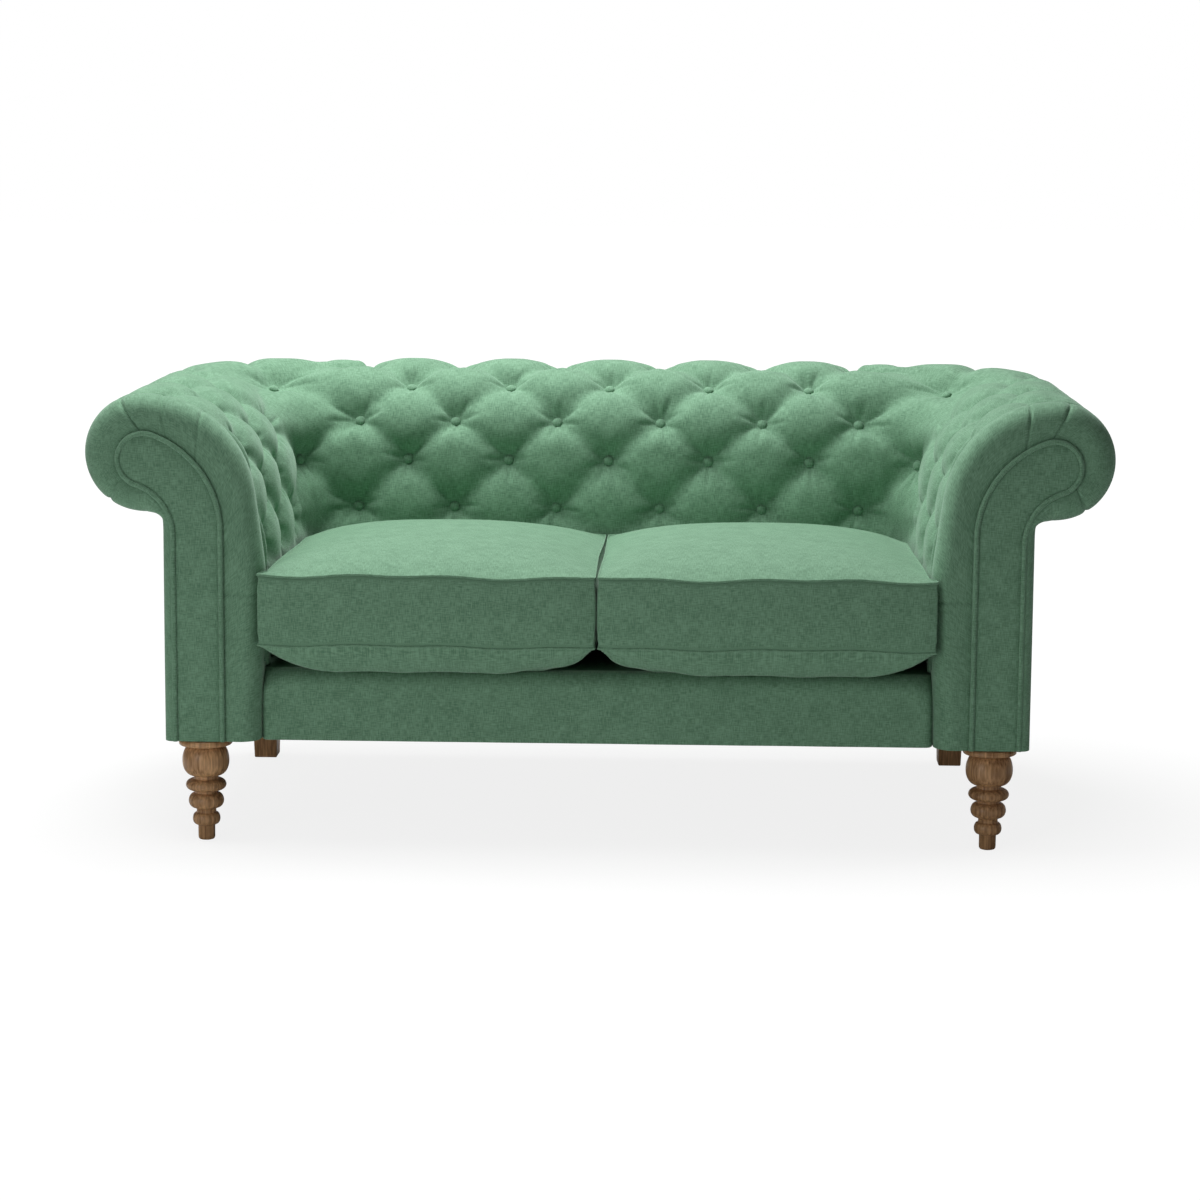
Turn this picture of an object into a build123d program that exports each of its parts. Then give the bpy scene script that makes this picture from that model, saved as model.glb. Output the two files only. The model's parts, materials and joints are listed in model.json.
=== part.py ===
from build123d import *
import os
from math import asin, cos, sin, sqrt, radians

os.makedirs("parts", exist_ok=True)

# Overall sizes of the sofa in millimetres
overall_width = 1750.0
overall_depth = 980.0
overall_height = 775.0
base_z = 178.0
clearance = 0.3

# Rolled section shared by the arms and the back, measured outwards from the inner face
roll_radius = 101.0
roll_reach = 205.0
shoulder_radius = 189.0
wall_thickness = 61.7
wall_top_drop = 172.5
lower_wall_drop = 345.0
corner_round = 45.0
square_angle = 90.0
mitre_angle = 45.0
part_angle = 22.5

# Buttoning: heights below the top for the two lower rows, angles on the shoulder for the upper rows
row_four_drop = 270.0
row_four_set = 2.0
row_three_drop = 177.0
row_three_set = 14.5
row_two_angle = 29.8
row_one_angle = 60.8
row_zero_angle = 88.0
tuft_depth = 28.0
top_tuft_depth = 22.0
pleat_depth = 10.0
puff = 5.0
roll_puff = 0.8
back_odd_shares = (0.0, 0.3645, 0.7328)
back_even_shares = (0.1889, 0.5611, 0.9122)
arm_odd_shares = (0.6732, 0.3321)
arm_even_shares = (0.8438, 0.5027, 0.1616)
corner_share = 0.35
button_radius = 9.6
button_height = 7.0
button_edge = 3.0
pocket_gap = 0.7
pocket_depth = 2.0

# Arm front: padded border, facing, piping and scroll-shaped post
cushion_overhang = 14.0
facing_thickness = 6.0
border_depth = 58.0
border_set = 3.0
border_round = 22.0
border_flare = 9.0
border_inner_rise = 300.0
notch_round = 12.0
piping_radius = 4.5
facing_inner_q = 71.5
facing_outer_q = 152.5
facing_head_radius = 45.0
facing_head_q = 200.0
facing_head_drop = 110.0
facing_shoulder_drop = 230.0
facing_neck_radius = 90.0
post_inner_q = 64.0
post_outer_q = 150.0
post_head_radius = 70.0
post_thickness = 22.0
post_neck_angle = 30.0

# Wooden frame
panel_q = 168.0
panel_thickness = 4.0
rear_corner_round = 60.0
cloth_thickness = 2.0
rail_thickness = 32.0
rail_height = 105.0
top_rail_inner_q = 130.0
top_rail_outer_q = 240.0
top_rail_drop = 100.0
top_rail_thickness = 25.0
tacking_thickness = 28.0
tacking_height = 40.0
tacking_lift = 4.0
corner_post_width = 26.0
corner_post_reach = 150.0
upright_width = 40.0
upright_x = 280.0
centre_rail_width = 40.0
centre_rail_height = 80.0
block_height = 60.0
block_width = 62.0
rear_block_length = 100.0

# Front border and seat deck
apron_set = 30.0
apron_thickness = 30.0
apron_height = 121.0
apron_top_round = 26.0
apron_end_round = 12.0
apron_end_gap = 5.0
deck_thickness = 9.0
hessian_thickness = 1.0
spring_wire_radius = 1.8
spring_count = 8
spring_spacing = 140.0
spring_bends = 15
spring_half_bar = 26.0
clip_width = 16.0
clip_length = 22.0
clip_top = 1.2
webbing_thickness = 2.0
webbing_width = 50.0
back_strap_count = 5
back_strap_share = 0.372
arm_strap_count = 3
arm_strap_share = 0.332

# Seat cushions
seat_gap = 4.0
cushion_side_gap = 4.0
cushion_ear = 13.0
cushion_ear_start = 11.0
cushion_ear_end = 21.0
cushion_back_gap = 10.0
cushion_back_round = 70.0
cushion_front_bow = 9.0
cushion_side_draw = 3.0
seam_top_rise = 171.0
seam_bottom_rise = 50.0
crown_top = 35.0
cover_thickness = 2.0
core_gap = 0.3
bottom_gap = 0.6
bottom_turn = 120.0
profile_margin = 6.0

# Legs
front_leg_q = 107.0
front_leg_set = 41.0
flange_radius = 46.0
flange_height = 11.0
ball_share = 0.80
ball_low_share = 0.635
ball_top_share = 0.78
ring_one_top_share = 0.605
ring_one_low_share = 0.488
ring_two_top_share = 0.462
ring_two_low_share = 0.315
ring_three_top_share = 0.265
ring_three_low_share = 0.146
ball_radius = 40.5
neck_radius = 21.0
ring_one_radius = 35.0
ring_two_radius = 30.5
ring_three_radius = 23.8
groove_radius = 19.0
lower_neck_radius = 16.5
foot_radius = 14.4
foot_edge = 3.5
back_leg_q = 99.0
back_leg_top_width = 54.0
back_leg_bottom_width = 43.0
back_leg_top_length = 60.0
back_leg_bottom_length = 50.0
back_leg_rake = 10.0
bolt_radius = 4.0
bolt_into_leg = 40.0
bolt_into_block = 42.0
nut_flange_radius = 11.0
nut_flange_height = 1.6
nut_barrel_radius = 5.2
nut_barrel_height = 12.0

# Positions worked out from the sizes above
half_width = overall_width / 2
arm_inner_x = half_width - roll_radius - roll_reach
back_inner_y = overall_depth / 2 - roll_radius - roll_reach
facing_y = -overall_depth / 2 + cushion_overhang
border_front_y = facing_y + border_set
border_back_y = facing_y + border_depth
post_front_y = facing_y + facing_thickness
post_back_y = post_front_y + post_thickness
roll_z = overall_height - roll_radius
roll_bottom_z = roll_z - roll_radius
shoulder_z = overall_height - shoulder_radius
frame_z = base_z + cloth_thickness
rail_top_z = frame_z + rail_height
spring_z = rail_top_z + spring_wire_radius + clearance
clip_channel = 2 * (spring_wire_radius + clearance)
hessian_z = rail_top_z + clip_channel + clip_top
deck_z = hessian_z + hessian_thickness
deck_top_z = deck_z + deck_thickness
pad_bottom_z = deck_top_z + clearance
lip_q = panel_q + panel_thickness + clearance
rail_inner_q = panel_q - rail_thickness
rail_inner_x = arm_inner_x + rail_inner_q
rail_outer_x = arm_inner_x + panel_q
post_inner_x = arm_inner_x + post_inner_q
post_outer_x = arm_inner_x + post_outer_q
back_rail_y = back_inner_y + rail_inner_q
back_rail_end_y = back_inner_y + panel_q
panel_x = arm_inner_x + panel_q
panel_y = back_inner_y + panel_q
panel_top_z = roll_bottom_z - clearance
round_x = panel_x + panel_thickness - rear_corner_round
round_y = panel_y + panel_thickness - rear_corner_round
top_rail_z = overall_height - top_rail_drop
top_rail_under_z = top_rail_z - top_rail_thickness
apron_y = facing_y + apron_set
front_rail_y = apron_y + apron_thickness
pivot_x = arm_inner_x - corner_round
pivot_y = back_inner_y - corner_round
wall_top_z = overall_height - wall_top_drop
tacking_z = deck_top_z + tacking_lift
tacking_inner_q = wall_thickness + clearance + webbing_thickness
seat_bottom_z = deck_top_z + bottom_gap
seam_top = seat_bottom_z + seam_top_rise
seam_bottom = seat_bottom_z + seam_bottom_rise
front_leg_x = arm_inner_x + front_leg_q
back_leg_x = arm_inner_x + back_leg_q
arm_run = pivot_y - border_back_y
back_odd_columns = [share * pivot_x for share in back_odd_shares]
back_even_columns = [share * pivot_x for share in back_even_shares]
arm_odd_columns = [share * arm_run for share in arm_odd_shares]
arm_even_columns = [share * arm_run for share in arm_even_shares]
back_strap_spacing = back_strap_share * pivot_x
arm_strap_spacing = arm_strap_share * arm_run


# Points of the buttoned section, set in from the crest line by the given depth
def on_shoulder(angle, inset):
    reach = shoulder_radius - inset
    return (roll_reach - reach * cos(radians(angle)), shoulder_z + reach * sin(radians(angle)))


def on_roll(angle, inset):
    reach = roll_radius - inset
    return (roll_reach + reach * cos(radians(angle)), roll_z + reach * sin(radians(angle)))


def row_point(row, inset):
    if row == 4:
        return (row_four_set + inset, overall_height - row_four_drop)
    if row == 3:
        return (row_three_set + inset, overall_height - row_three_drop)
    if row == 2:
        return on_shoulder(row_two_angle, inset)
    if row == 1:
        return on_shoulder(row_one_angle, inset)
    return on_shoulder(row_zero_angle, inset)


def row_normal(row):
    if row >= 3:
        return (-1.0, 0.0)
    angle = (row_zero_angle, row_one_angle, row_two_angle)[row]
    return (-cos(radians(angle)), sin(radians(angle)))


def between(first, second, lift_q, lift_z):
    return ((first[0] + second[0]) / 2 + lift_q, (first[1] + second[1]) / 2 + lift_z)


# Upright planes across the arm, round the corner and across the back, with the section's own axes
def arm_plane(y):
    return Plane(origin=(arm_inner_x, y, 0), x_dir=(1, 0, 0), z_dir=(0, -1, 0))


def corner_plane(angle):
    along = (cos(radians(angle)), sin(radians(angle)), 0)
    start = (pivot_x + corner_round * along[0], pivot_y + corner_round * along[1], 0)
    return Plane(origin=start, x_dir=along, z_dir=(along[1], -along[0], 0))


def back_plane(x):
    return Plane(origin=(x, back_inner_y, 0), x_dir=(0, 1, 0), z_dir=(1, 0, 0))


def left_corner_plane(angle):
    along = (-cos(radians(angle)), sin(radians(angle)), 0)
    start = (-pivot_x + corner_round * along[0], pivot_y + corner_round * along[1], 0)
    return Plane(origin=start, x_dir=along, z_dir=(along[1], -along[0], 0))


# One closed section of the buttoned pad; odd and even say how far in the two sets of rows are drawn
def pad_section(plane, odd, even):
    foot = (0.0, pad_bottom_z)
    low = (0.0, overall_height - lower_wall_drop)
    four = row_point(4, tuft_depth * even)
    three = row_point(3, tuft_depth * odd)
    two = row_point(2, tuft_depth * even)
    one = row_point(1, tuft_depth * odd)
    zero = row_point(0, top_tuft_depth * even)
    outer_top = on_roll(mitre_angle, pleat_depth * even)
    outer = on_roll(0, pleat_depth * even)
    outer_low = on_roll(-mitre_angle, pleat_depth * even)
    under = on_roll(-square_angle, 0)
    arcs = (
        (low, between(low, four, -puff, 0), four),
        (four, between(four, three, -puff, 0), three),
        (three, between(three, two, -puff, puff / 2), two),
        (two, between(two, one, -puff, puff), one),
        (one, between(one, zero, -puff / 2, puff), zero),
        (zero, on_roll(mitre_angle + part_angle, pleat_depth * even - roll_puff), outer_top),
        (outer_top, on_roll(part_angle, pleat_depth * even - roll_puff), outer),
        (outer, on_roll(-part_angle, pleat_depth * even - roll_puff), outer_low),
        (outer_low, on_roll(-mitre_angle - part_angle, pleat_depth * even / 2 - roll_puff), under),
    )
    hidden = (
        under,
        (lip_q, roll_bottom_z),
        (lip_q, top_rail_under_z - clearance),
        (top_rail_outer_q + clearance, top_rail_under_z - clearance),
        (top_rail_outer_q + clearance, top_rail_z + clearance),
        (top_rail_inner_q - clearance, top_rail_z + clearance),
        (top_rail_inner_q - clearance, top_rail_under_z + 2 * webbing_thickness),
        (wall_thickness, wall_top_z + webbing_thickness),
        (wall_thickness, pad_bottom_z),
        foot,
    )
    with BuildSketch(plane) as section:
        with BuildLine():
            Line(foot, low)
            for start, middle, end in arcs:
                ThreePointArc(start, middle, end)
            Polyline(*hidden)
        make_face()
    return section.sketch


# Where each button sits: the bottom of its pit and the way it faces
def button_plane(plane, row):
    depth = top_tuft_depth if row == 0 else tuft_depth
    point = row_point(row, depth + pocket_depth)
    facing = row_normal(row)
    origin = plane.from_local_coords(Vector(point[0], point[1], 0))
    normal = plane.x_dir * facing[0] + plane.y_dir * facing[1]
    return Plane(origin=origin, x_dir=plane.z_dir, z_dir=normal)


odd_rows = range(1, 4, 2)
even_rows = range(0, 5, 2)
arm_buttons = []
for reach in arm_odd_columns:
    for row in odd_rows:
        arm_buttons.append(button_plane(arm_plane(pivot_y - reach), row))
for reach in arm_even_columns:
    for row in even_rows:
        arm_buttons.append(button_plane(arm_plane(pivot_y - reach), row))
right_mitre_buttons = [button_plane(corner_plane(mitre_angle), row) for row in odd_rows]
left_mitre_buttons = [button_plane(left_corner_plane(mitre_angle), row) for row in odd_rows]
back_buttons_at = []
for x in back_odd_columns:
    for row in odd_rows:
        back_buttons_at.append(button_plane(back_plane(x), row))
        if x > 0:
            back_buttons_at.append(button_plane(back_plane(-x), row))
for x in back_even_columns:
    for row in even_rows:
        back_buttons_at.append(button_plane(back_plane(x), row))
        back_buttons_at.append(button_plane(back_plane(-x), row))
pocket_length = tuft_depth + 2 * puff
near_mitre = (1 + corner_share) / 2

# Arm pads: buttoned foam and cover over the inner arm and the roll, up to the mitred corner
arm_sections = [pad_section(arm_plane(border_back_y + clearance), 0, 0)]
arm_sections.append(pad_section(arm_plane(pivot_y - arm_even_columns[0]), 0, 1))
arm_sections.append(pad_section(arm_plane(pivot_y - arm_odd_columns[0]), 1, 0))
arm_sections.append(pad_section(arm_plane(pivot_y - arm_even_columns[1]), 0, 1))
arm_sections.append(pad_section(arm_plane(pivot_y - arm_odd_columns[1]), 1, 0))
arm_sections.append(pad_section(arm_plane(pivot_y - arm_even_columns[2]), 0, 1))
arm_sections.append(pad_section(corner_plane(0), corner_share, 1 - corner_share))
arm_sections.append(pad_section(corner_plane(part_angle), near_mitre, 1 - near_mitre))
arm_sections.append(pad_section(corner_plane(mitre_angle), 1, 0))
with BuildPart() as right_arm_pad:
    loft(arm_sections, ruled=True)
    with Locations(*arm_buttons, *right_mitre_buttons):
        Cylinder(
            button_radius + pocket_gap,
            pocket_length,
            align=(Align.CENTER, Align.CENTER, Align.MIN),
            mode=Mode.SUBTRACT,
        )
right_arm_pad.part.label = "right_arm_pad"
export_step(right_arm_pad.part, "parts/right_arm_pad.step")

with BuildPart() as left_arm_pad:
    mirror(right_arm_pad.part, about=Plane.YZ)
left_arm_pad.part.label = "left_arm_pad"
export_step(left_arm_pad.part, "parts/left_arm_pad.step")

# Back pad: the same buttoned section across the back, mitred into both arm pads
back_sections = [pad_section(corner_plane(mitre_angle), 1, 0)]
back_sections.append(pad_section(corner_plane(mitre_angle + part_angle), near_mitre, 1 - near_mitre))
back_sections.append(pad_section(corner_plane(square_angle), corner_share, 1 - corner_share))
for even_x, odd_x in zip(reversed(back_even_columns), reversed(back_odd_columns)):
    back_sections.append(pad_section(back_plane(even_x), 0, 1))
    back_sections.append(pad_section(back_plane(odd_x), 1, 0))
for even_x, odd_x in zip(back_even_columns[:-1], back_odd_columns[1:]):
    back_sections.append(pad_section(back_plane(-even_x), 0, 1))
    back_sections.append(pad_section(back_plane(-odd_x), 1, 0))
back_sections.append(pad_section(back_plane(-back_even_columns[-1]), 0, 1))
back_sections.append(pad_section(left_corner_plane(square_angle), corner_share, 1 - corner_share))
back_sections.append(pad_section(left_corner_plane(mitre_angle + part_angle), near_mitre, 1 - near_mitre))
back_sections.append(pad_section(left_corner_plane(mitre_angle), 1, 0))
with BuildPart() as back_pad:
    loft(back_sections, ruled=True)
    with Locations(*back_buttons_at, *right_mitre_buttons, *left_mitre_buttons):
        Cylinder(
            button_radius + pocket_gap,
            pocket_length,
            align=(Align.CENTER, Align.CENTER, Align.MIN),
            mode=Mode.SUBTRACT,
        )
back_pad.part.label = "back_pad"
export_step(back_pad.part, "parts/back_pad.step")

# Covered buttons pulled into the pits
with BuildPart() as one_button:
    Cylinder(button_radius, button_height, align=(Align.CENTER, Align.CENTER, Align.MIN))
    fillet(one_button.edges().sort_by(Axis.Z)[-1], radius=button_edge)

with BuildPart() as right_arm_buttons:
    with Locations(*arm_buttons):
        add(one_button.part)
right_arm_buttons.part.label = "right_arm_buttons"
export_step(right_arm_buttons.part, "parts/right_arm_buttons.step")

with BuildPart() as left_arm_buttons:
    mirror(right_arm_buttons.part, about=Plane.YZ)
left_arm_buttons.part.label = "left_arm_buttons"
export_step(left_arm_buttons.part, "parts/left_arm_buttons.step")

with BuildPart() as back_buttons:
    with Locations(*back_buttons_at, *right_mitre_buttons, *left_mitre_buttons):
        add(one_button.part)
back_buttons.part.label = "back_buttons"
export_step(back_buttons.part, "parts/back_buttons.step")


# Outline of the flat facing: straight sides, a big shoulder arc, the scroll head and a hollow neck
facing_head = (facing_head_q, overall_height - facing_head_drop)
facing_shoulder_z = overall_height - facing_shoulder_drop
head_in = facing_head_q - facing_inner_q
head_up = facing_head[1] - facing_shoulder_z
head_span = head_in**2 + head_up**2 - facing_head_radius**2
facing_shoulder_radius = head_span / (2 * (head_in - facing_head_radius))
facing_shoulder = (facing_inner_q + facing_shoulder_radius, facing_shoulder_z)
facing_neck_q = facing_outer_q + facing_neck_radius
neck_drop = sqrt((facing_neck_radius + facing_head_radius) ** 2 - (facing_neck_q - facing_head_q) ** 2)
facing_neck = (facing_neck_q, facing_head[1] - neck_drop)


def toward(start, end, reach):
    length = sqrt((end[0] - start[0]) ** 2 + (end[1] - start[1]) ** 2)
    return (start[0] + (end[0] - start[0]) * reach / length, start[1] + (end[1] - start[1]) * reach / length)


neck_meet = toward(facing_neck, facing_head, facing_neck_radius)
neck_chord = between((facing_outer_q, facing_neck[1]), neck_meet, 0, 0)
neck_middle = toward(facing_neck, neck_chord, facing_neck_radius)
shoulder_meet = toward(facing_shoulder, facing_head, facing_shoulder_radius)
shoulder_middle = toward(
    facing_shoulder,
    between((facing_inner_q, facing_shoulder_z), shoulder_meet, 0, 0),
    facing_shoulder_radius,
)
head_far = toward(facing_head, between(neck_meet, shoulder_meet, 0, 0), -facing_head_radius)


def facing_line():
    Line((facing_outer_q, frame_z), (facing_outer_q, facing_neck[1]))
    ThreePointArc((facing_outer_q, facing_neck[1]), neck_middle, neck_meet)
    ThreePointArc(neck_meet, head_far, shoulder_meet)
    ThreePointArc(shoulder_meet, shoulder_middle, (facing_inner_q, facing_shoulder_z))
    Line((facing_inner_q, facing_shoulder_z), (facing_inner_q, frame_z))


def facing_sketch(plane, grow):
    with BuildSketch(plane) as outline:
        with BuildLine():
            facing_line()
            Line((facing_inner_q, frame_z), (facing_outer_q, frame_z))
        make_face()
        if grow != 0:
            offset(amount=grow, kind=Kind.INTERSECTION)
    return outline.sketch


# Outer outline of the arm front, and the outline of the post inside it
def arm_outline(plane):
    inner_z = frame_z + border_inner_rise
    with BuildSketch(plane) as outline:
        with BuildLine():
            Line((border_flare, frame_z), (0, inner_z))
            Line((0, inner_z), on_shoulder(0, 0))
            ThreePointArc(on_shoulder(0, 0), on_shoulder(mitre_angle, 0), on_shoulder(square_angle, 0))
            ThreePointArc(on_shoulder(square_angle, 0), on_roll(mitre_angle, 0), on_roll(0, 0))
            ThreePointArc(on_roll(0, 0), on_roll(-mitre_angle, 0), on_roll(-square_angle, 0))
            Line(on_roll(-square_angle, 0), (panel_q + panel_thickness + notch_round, roll_bottom_z))
            ThreePointArc(
                (panel_q + panel_thickness + notch_round, roll_bottom_z),
                (
                    panel_q + panel_thickness + notch_round * (1 - cos(radians(mitre_angle))),
                    roll_bottom_z - notch_round * (1 - sin(radians(mitre_angle))),
                ),
                (panel_q + panel_thickness, roll_bottom_z - notch_round),
            )
            Line(
                (panel_q + panel_thickness, roll_bottom_z - notch_round),
                (panel_q + panel_thickness, frame_z),
            )
            Line((panel_q + panel_thickness, frame_z), (border_flare, frame_z))
        make_face()
    return outline.sketch


def post_sketch(plane, outer_q, grow):
    shoulder_in = (top_rail_inner_q - tacking_thickness, top_rail_z + clearance + rail_thickness / 2)
    with BuildSketch(plane) as outline:
        with BuildLine():
            Polyline(
                (post_inner_q, frame_z),
                (outer_q, frame_z),
                (outer_q, top_rail_under_z),
                (roll_reach, roll_z),
                (panel_q, roll_z + post_head_radius * cos(radians(post_neck_angle))),
                shoulder_in,
                (post_inner_q, wall_top_z + rail_thickness),
                (post_inner_q, frame_z),
            )
        make_face()
        with Locations((roll_reach, roll_z)):
            Circle(post_head_radius)
        if grow != 0:
            offset(amount=grow, kind=Kind.INTERSECTION)
    return outline.sketch


# Padded border round the arm front, its front edge rounded over
with BuildPart() as right_arm_border:
    extrude(arm_outline(arm_plane(border_back_y)), amount=border_depth - border_set)
    front_edges = right_arm_border.faces().sort_by(Axis.Y)[0].edges()
    fillet(front_edges.sort_by(Axis.Z)[1:], radius=border_round)
    extrude(facing_sketch(arm_plane(border_back_y), 0), amount=border_depth, mode=Mode.SUBTRACT)
    extrude(
        post_sketch(arm_plane(border_back_y), panel_q, clearance),
        amount=border_back_y - post_back_y,
        mode=Mode.SUBTRACT,
    )
    extrude(
        post_sketch(arm_plane(post_back_y), post_outer_q, clearance),
        amount=post_thickness,
        mode=Mode.SUBTRACT,
    )
right_arm_border.part.label = "right_arm_border"
export_step(right_arm_border.part, "parts/right_arm_border.step")

with BuildPart() as left_arm_border:
    mirror(right_arm_border.part, about=Plane.YZ)
left_arm_border.part.label = "left_arm_border"
export_step(left_arm_border.part, "parts/left_arm_border.step")

# Flat facing inside the piping
with BuildPart() as right_arm_facing:
    extrude(facing_sketch(arm_plane(post_front_y), -piping_radius - clearance), amount=facing_thickness)
right_arm_facing.part.label = "right_arm_facing"
export_step(right_arm_facing.part, "parts/right_arm_facing.step")

with BuildPart() as left_arm_facing:
    mirror(right_arm_facing.part, about=Plane.YZ)
left_arm_facing.part.label = "left_arm_facing"
export_step(left_arm_facing.part, "parts/left_arm_facing.step")

# Piping cord round the facing, open at the bottom edge
piping_y = border_front_y - piping_radius - clearance
with BuildPart() as right_facing_piping:
    with BuildLine(arm_plane(piping_y)) as piping_path:
        facing_line()
    with BuildSketch(Plane(origin=piping_path.line @ 0, z_dir=piping_path.line % 0)):
        Circle(piping_radius)
    sweep(path=piping_path.line)
right_facing_piping.part.label = "right_facing_piping"
export_step(right_facing_piping.part, "parts/right_facing_piping.step")

with BuildPart() as left_facing_piping:
    mirror(right_facing_piping.part, about=Plane.YZ)
left_facing_piping.part.label = "left_facing_piping"
export_step(left_facing_piping.part, "parts/left_facing_piping.step")

# Scroll-shaped front post of the arm
with BuildPart() as right_front_post:
    extrude(post_sketch(arm_plane(post_back_y), post_outer_q, 0), amount=post_thickness)
right_front_post.part.label = "right_front_post"
export_step(right_front_post.part, "parts/right_front_post.step")

with BuildPart() as left_front_post:
    mirror(right_front_post.part, about=Plane.YZ)
left_front_post.part.label = "left_front_post"
export_step(left_front_post.part, "parts/left_front_post.step")


# A board between two corners of a box
def board(low, high):
    middle = ((low[0] + high[0]) / 2, (low[1] + high[1]) / 2, (low[2] + high[2]) / 2)
    with Locations(middle):
        Box(high[0] - low[0], high[1] - low[1], high[2] - low[2])


# Seat rails
with BuildPart() as right_side_rail:
    board((rail_inner_x, post_back_y, frame_z), (rail_outer_x, round_y, rail_top_z))
right_side_rail.part.label = "right_side_rail"
export_step(right_side_rail.part, "parts/right_side_rail.step")

with BuildPart() as left_side_rail:
    mirror(right_side_rail.part, about=Plane.YZ)
left_side_rail.part.label = "left_side_rail"
export_step(left_side_rail.part, "parts/left_side_rail.step")

with BuildPart() as front_rail:
    board(
        (-rail_inner_x, front_rail_y, frame_z),
        (rail_inner_x, front_rail_y + rail_thickness, rail_top_z),
    )
front_rail.part.label = "front_rail"
export_step(front_rail.part, "parts/front_rail.step")

with BuildPart() as back_rail:
    board((-round_x, back_rail_y, frame_z), (round_x, back_rail_end_y, rail_top_z))
back_rail.part.label = "back_rail"
export_step(back_rail.part, "parts/back_rail.step")

with BuildPart() as centre_rail:
    board(
        (-centre_rail_width / 2, front_rail_y + rail_thickness, frame_z),
        (centre_rail_width / 2, back_rail_y, frame_z + centre_rail_height),
    )
centre_rail.part.label = "centre_rail"
export_step(centre_rail.part, "parts/centre_rail.step")

# Corner blocks that carry the legs, each bored for its leg bolt
front_leg_y = facing_y + front_leg_set
back_leg_y = back_rail_y - rear_block_length / 2
block_inner_x = rail_inner_x - block_width
leg_points = (
    (front_leg_x, front_leg_y),
    (-front_leg_x, front_leg_y),
    (back_leg_x, back_leg_y),
    (-back_leg_x, back_leg_y),
)
with BuildPart() as corner_blocks:
    for side in (1, -1):
        middle_x = side * (rail_inner_x + block_inner_x) / 2
        with Locations(
            (middle_x, (post_back_y + front_rail_y) / 2, frame_z),
        ):
            Box(
                block_width,
                front_rail_y - post_back_y,
                block_height,
                align=(Align.CENTER, Align.CENTER, Align.MIN),
            )
        with Locations(
            (middle_x, back_leg_y, frame_z),
        ):
            Box(block_width, rear_block_length, block_height, align=(Align.CENTER, Align.CENTER, Align.MIN))
    with Locations(*[(x, y, frame_z) for x, y in leg_points]):
        Cylinder(
            nut_barrel_radius + clearance,
            block_height,
            align=(Align.CENTER, Align.CENTER, Align.MIN),
            mode=Mode.SUBTRACT,
        )
        Cylinder(
            nut_flange_radius + clearance,
            nut_flange_height,
            align=(Align.CENTER, Align.CENTER, Align.MIN),
            mode=Mode.SUBTRACT,
        )
corner_blocks.part.label = "corner_blocks"
export_step(corner_blocks.part, "parts/corner_blocks.step")

# Rear corner posts standing on the rear blocks, under the curved roll pieces
corner_post_x = pivot_x + (corner_round + corner_post_reach) * cos(radians(mitre_angle))
corner_post_y = pivot_y + (corner_round + corner_post_reach) * sin(radians(mitre_angle))
with BuildPart() as right_corner_post:
    board(
        (
            corner_post_x - corner_post_width / 2,
            corner_post_y - corner_post_width / 2,
            frame_z + block_height,
        ),
        (corner_post_x + corner_post_width / 2, corner_post_y + corner_post_width / 2, top_rail_under_z),
    )
right_corner_post.part.label = "right_corner_post"
export_step(right_corner_post.part, "parts/right_corner_post.step")

with BuildPart() as left_corner_post:
    mirror(right_corner_post.part, about=Plane.YZ)
left_corner_post.part.label = "left_corner_post"
export_step(left_corner_post.part, "parts/left_corner_post.step")

# Two uprights in the back between the back rail and the top rail
with BuildPart() as back_uprights:
    for side in (1, -1):
        board(
            (side * upright_x - upright_width / 2, back_rail_y, rail_top_z),
            (side * upright_x + upright_width / 2, back_rail_end_y, top_rail_under_z),
        )
back_uprights.part.label = "back_uprights"
export_step(back_uprights.part, "parts/back_uprights.step")

# Top rails inside the roll, joined by curved corner pieces
with BuildPart() as right_arm_top_rail:
    board(
        (arm_inner_x + top_rail_inner_q, post_back_y, top_rail_under_z),
        (arm_inner_x + top_rail_outer_q, pivot_y, top_rail_z),
    )
right_arm_top_rail.part.label = "right_arm_top_rail"
export_step(right_arm_top_rail.part, "parts/right_arm_top_rail.step")

with BuildPart() as left_arm_top_rail:
    mirror(right_arm_top_rail.part, about=Plane.YZ)
left_arm_top_rail.part.label = "left_arm_top_rail"
export_step(left_arm_top_rail.part, "parts/left_arm_top_rail.step")

with BuildPart() as back_top_rail:
    board(
        (-pivot_x, back_inner_y + top_rail_inner_q, top_rail_under_z),
        (pivot_x, back_inner_y + top_rail_outer_q, top_rail_z),
    )
back_top_rail.part.label = "back_top_rail"
export_step(back_top_rail.part, "parts/back_top_rail.step")

roll_corner_in = corner_round + top_rail_inner_q
roll_corner_out = corner_round + top_rail_outer_q
facet_angles = [0, part_angle, mitre_angle, mitre_angle + part_angle, square_angle]
with BuildPart() as right_roll_corner:
    with BuildSketch(Plane.XY.offset(top_rail_under_z)):
        with BuildLine():
            outer_ring = [
                (pivot_x + roll_corner_out * cos(radians(a)), pivot_y + roll_corner_out * sin(radians(a)))
                for a in facet_angles
            ]
            inner_ring = [
                (pivot_x + roll_corner_in * cos(radians(a)), pivot_y + roll_corner_in * sin(radians(a)))
                for a in reversed(facet_angles)
            ]
            Polyline(*outer_ring, *inner_ring, outer_ring[0])
        make_face()
    extrude(amount=top_rail_thickness)
right_roll_corner.part.label = "right_roll_corner"
export_step(right_roll_corner.part, "parts/right_roll_corner.step")

with BuildPart() as left_roll_corner:
    mirror(right_roll_corner.part, about=Plane.YZ)
left_roll_corner.part.label = "left_roll_corner"
export_step(left_roll_corner.part, "parts/left_roll_corner.step")

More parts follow.
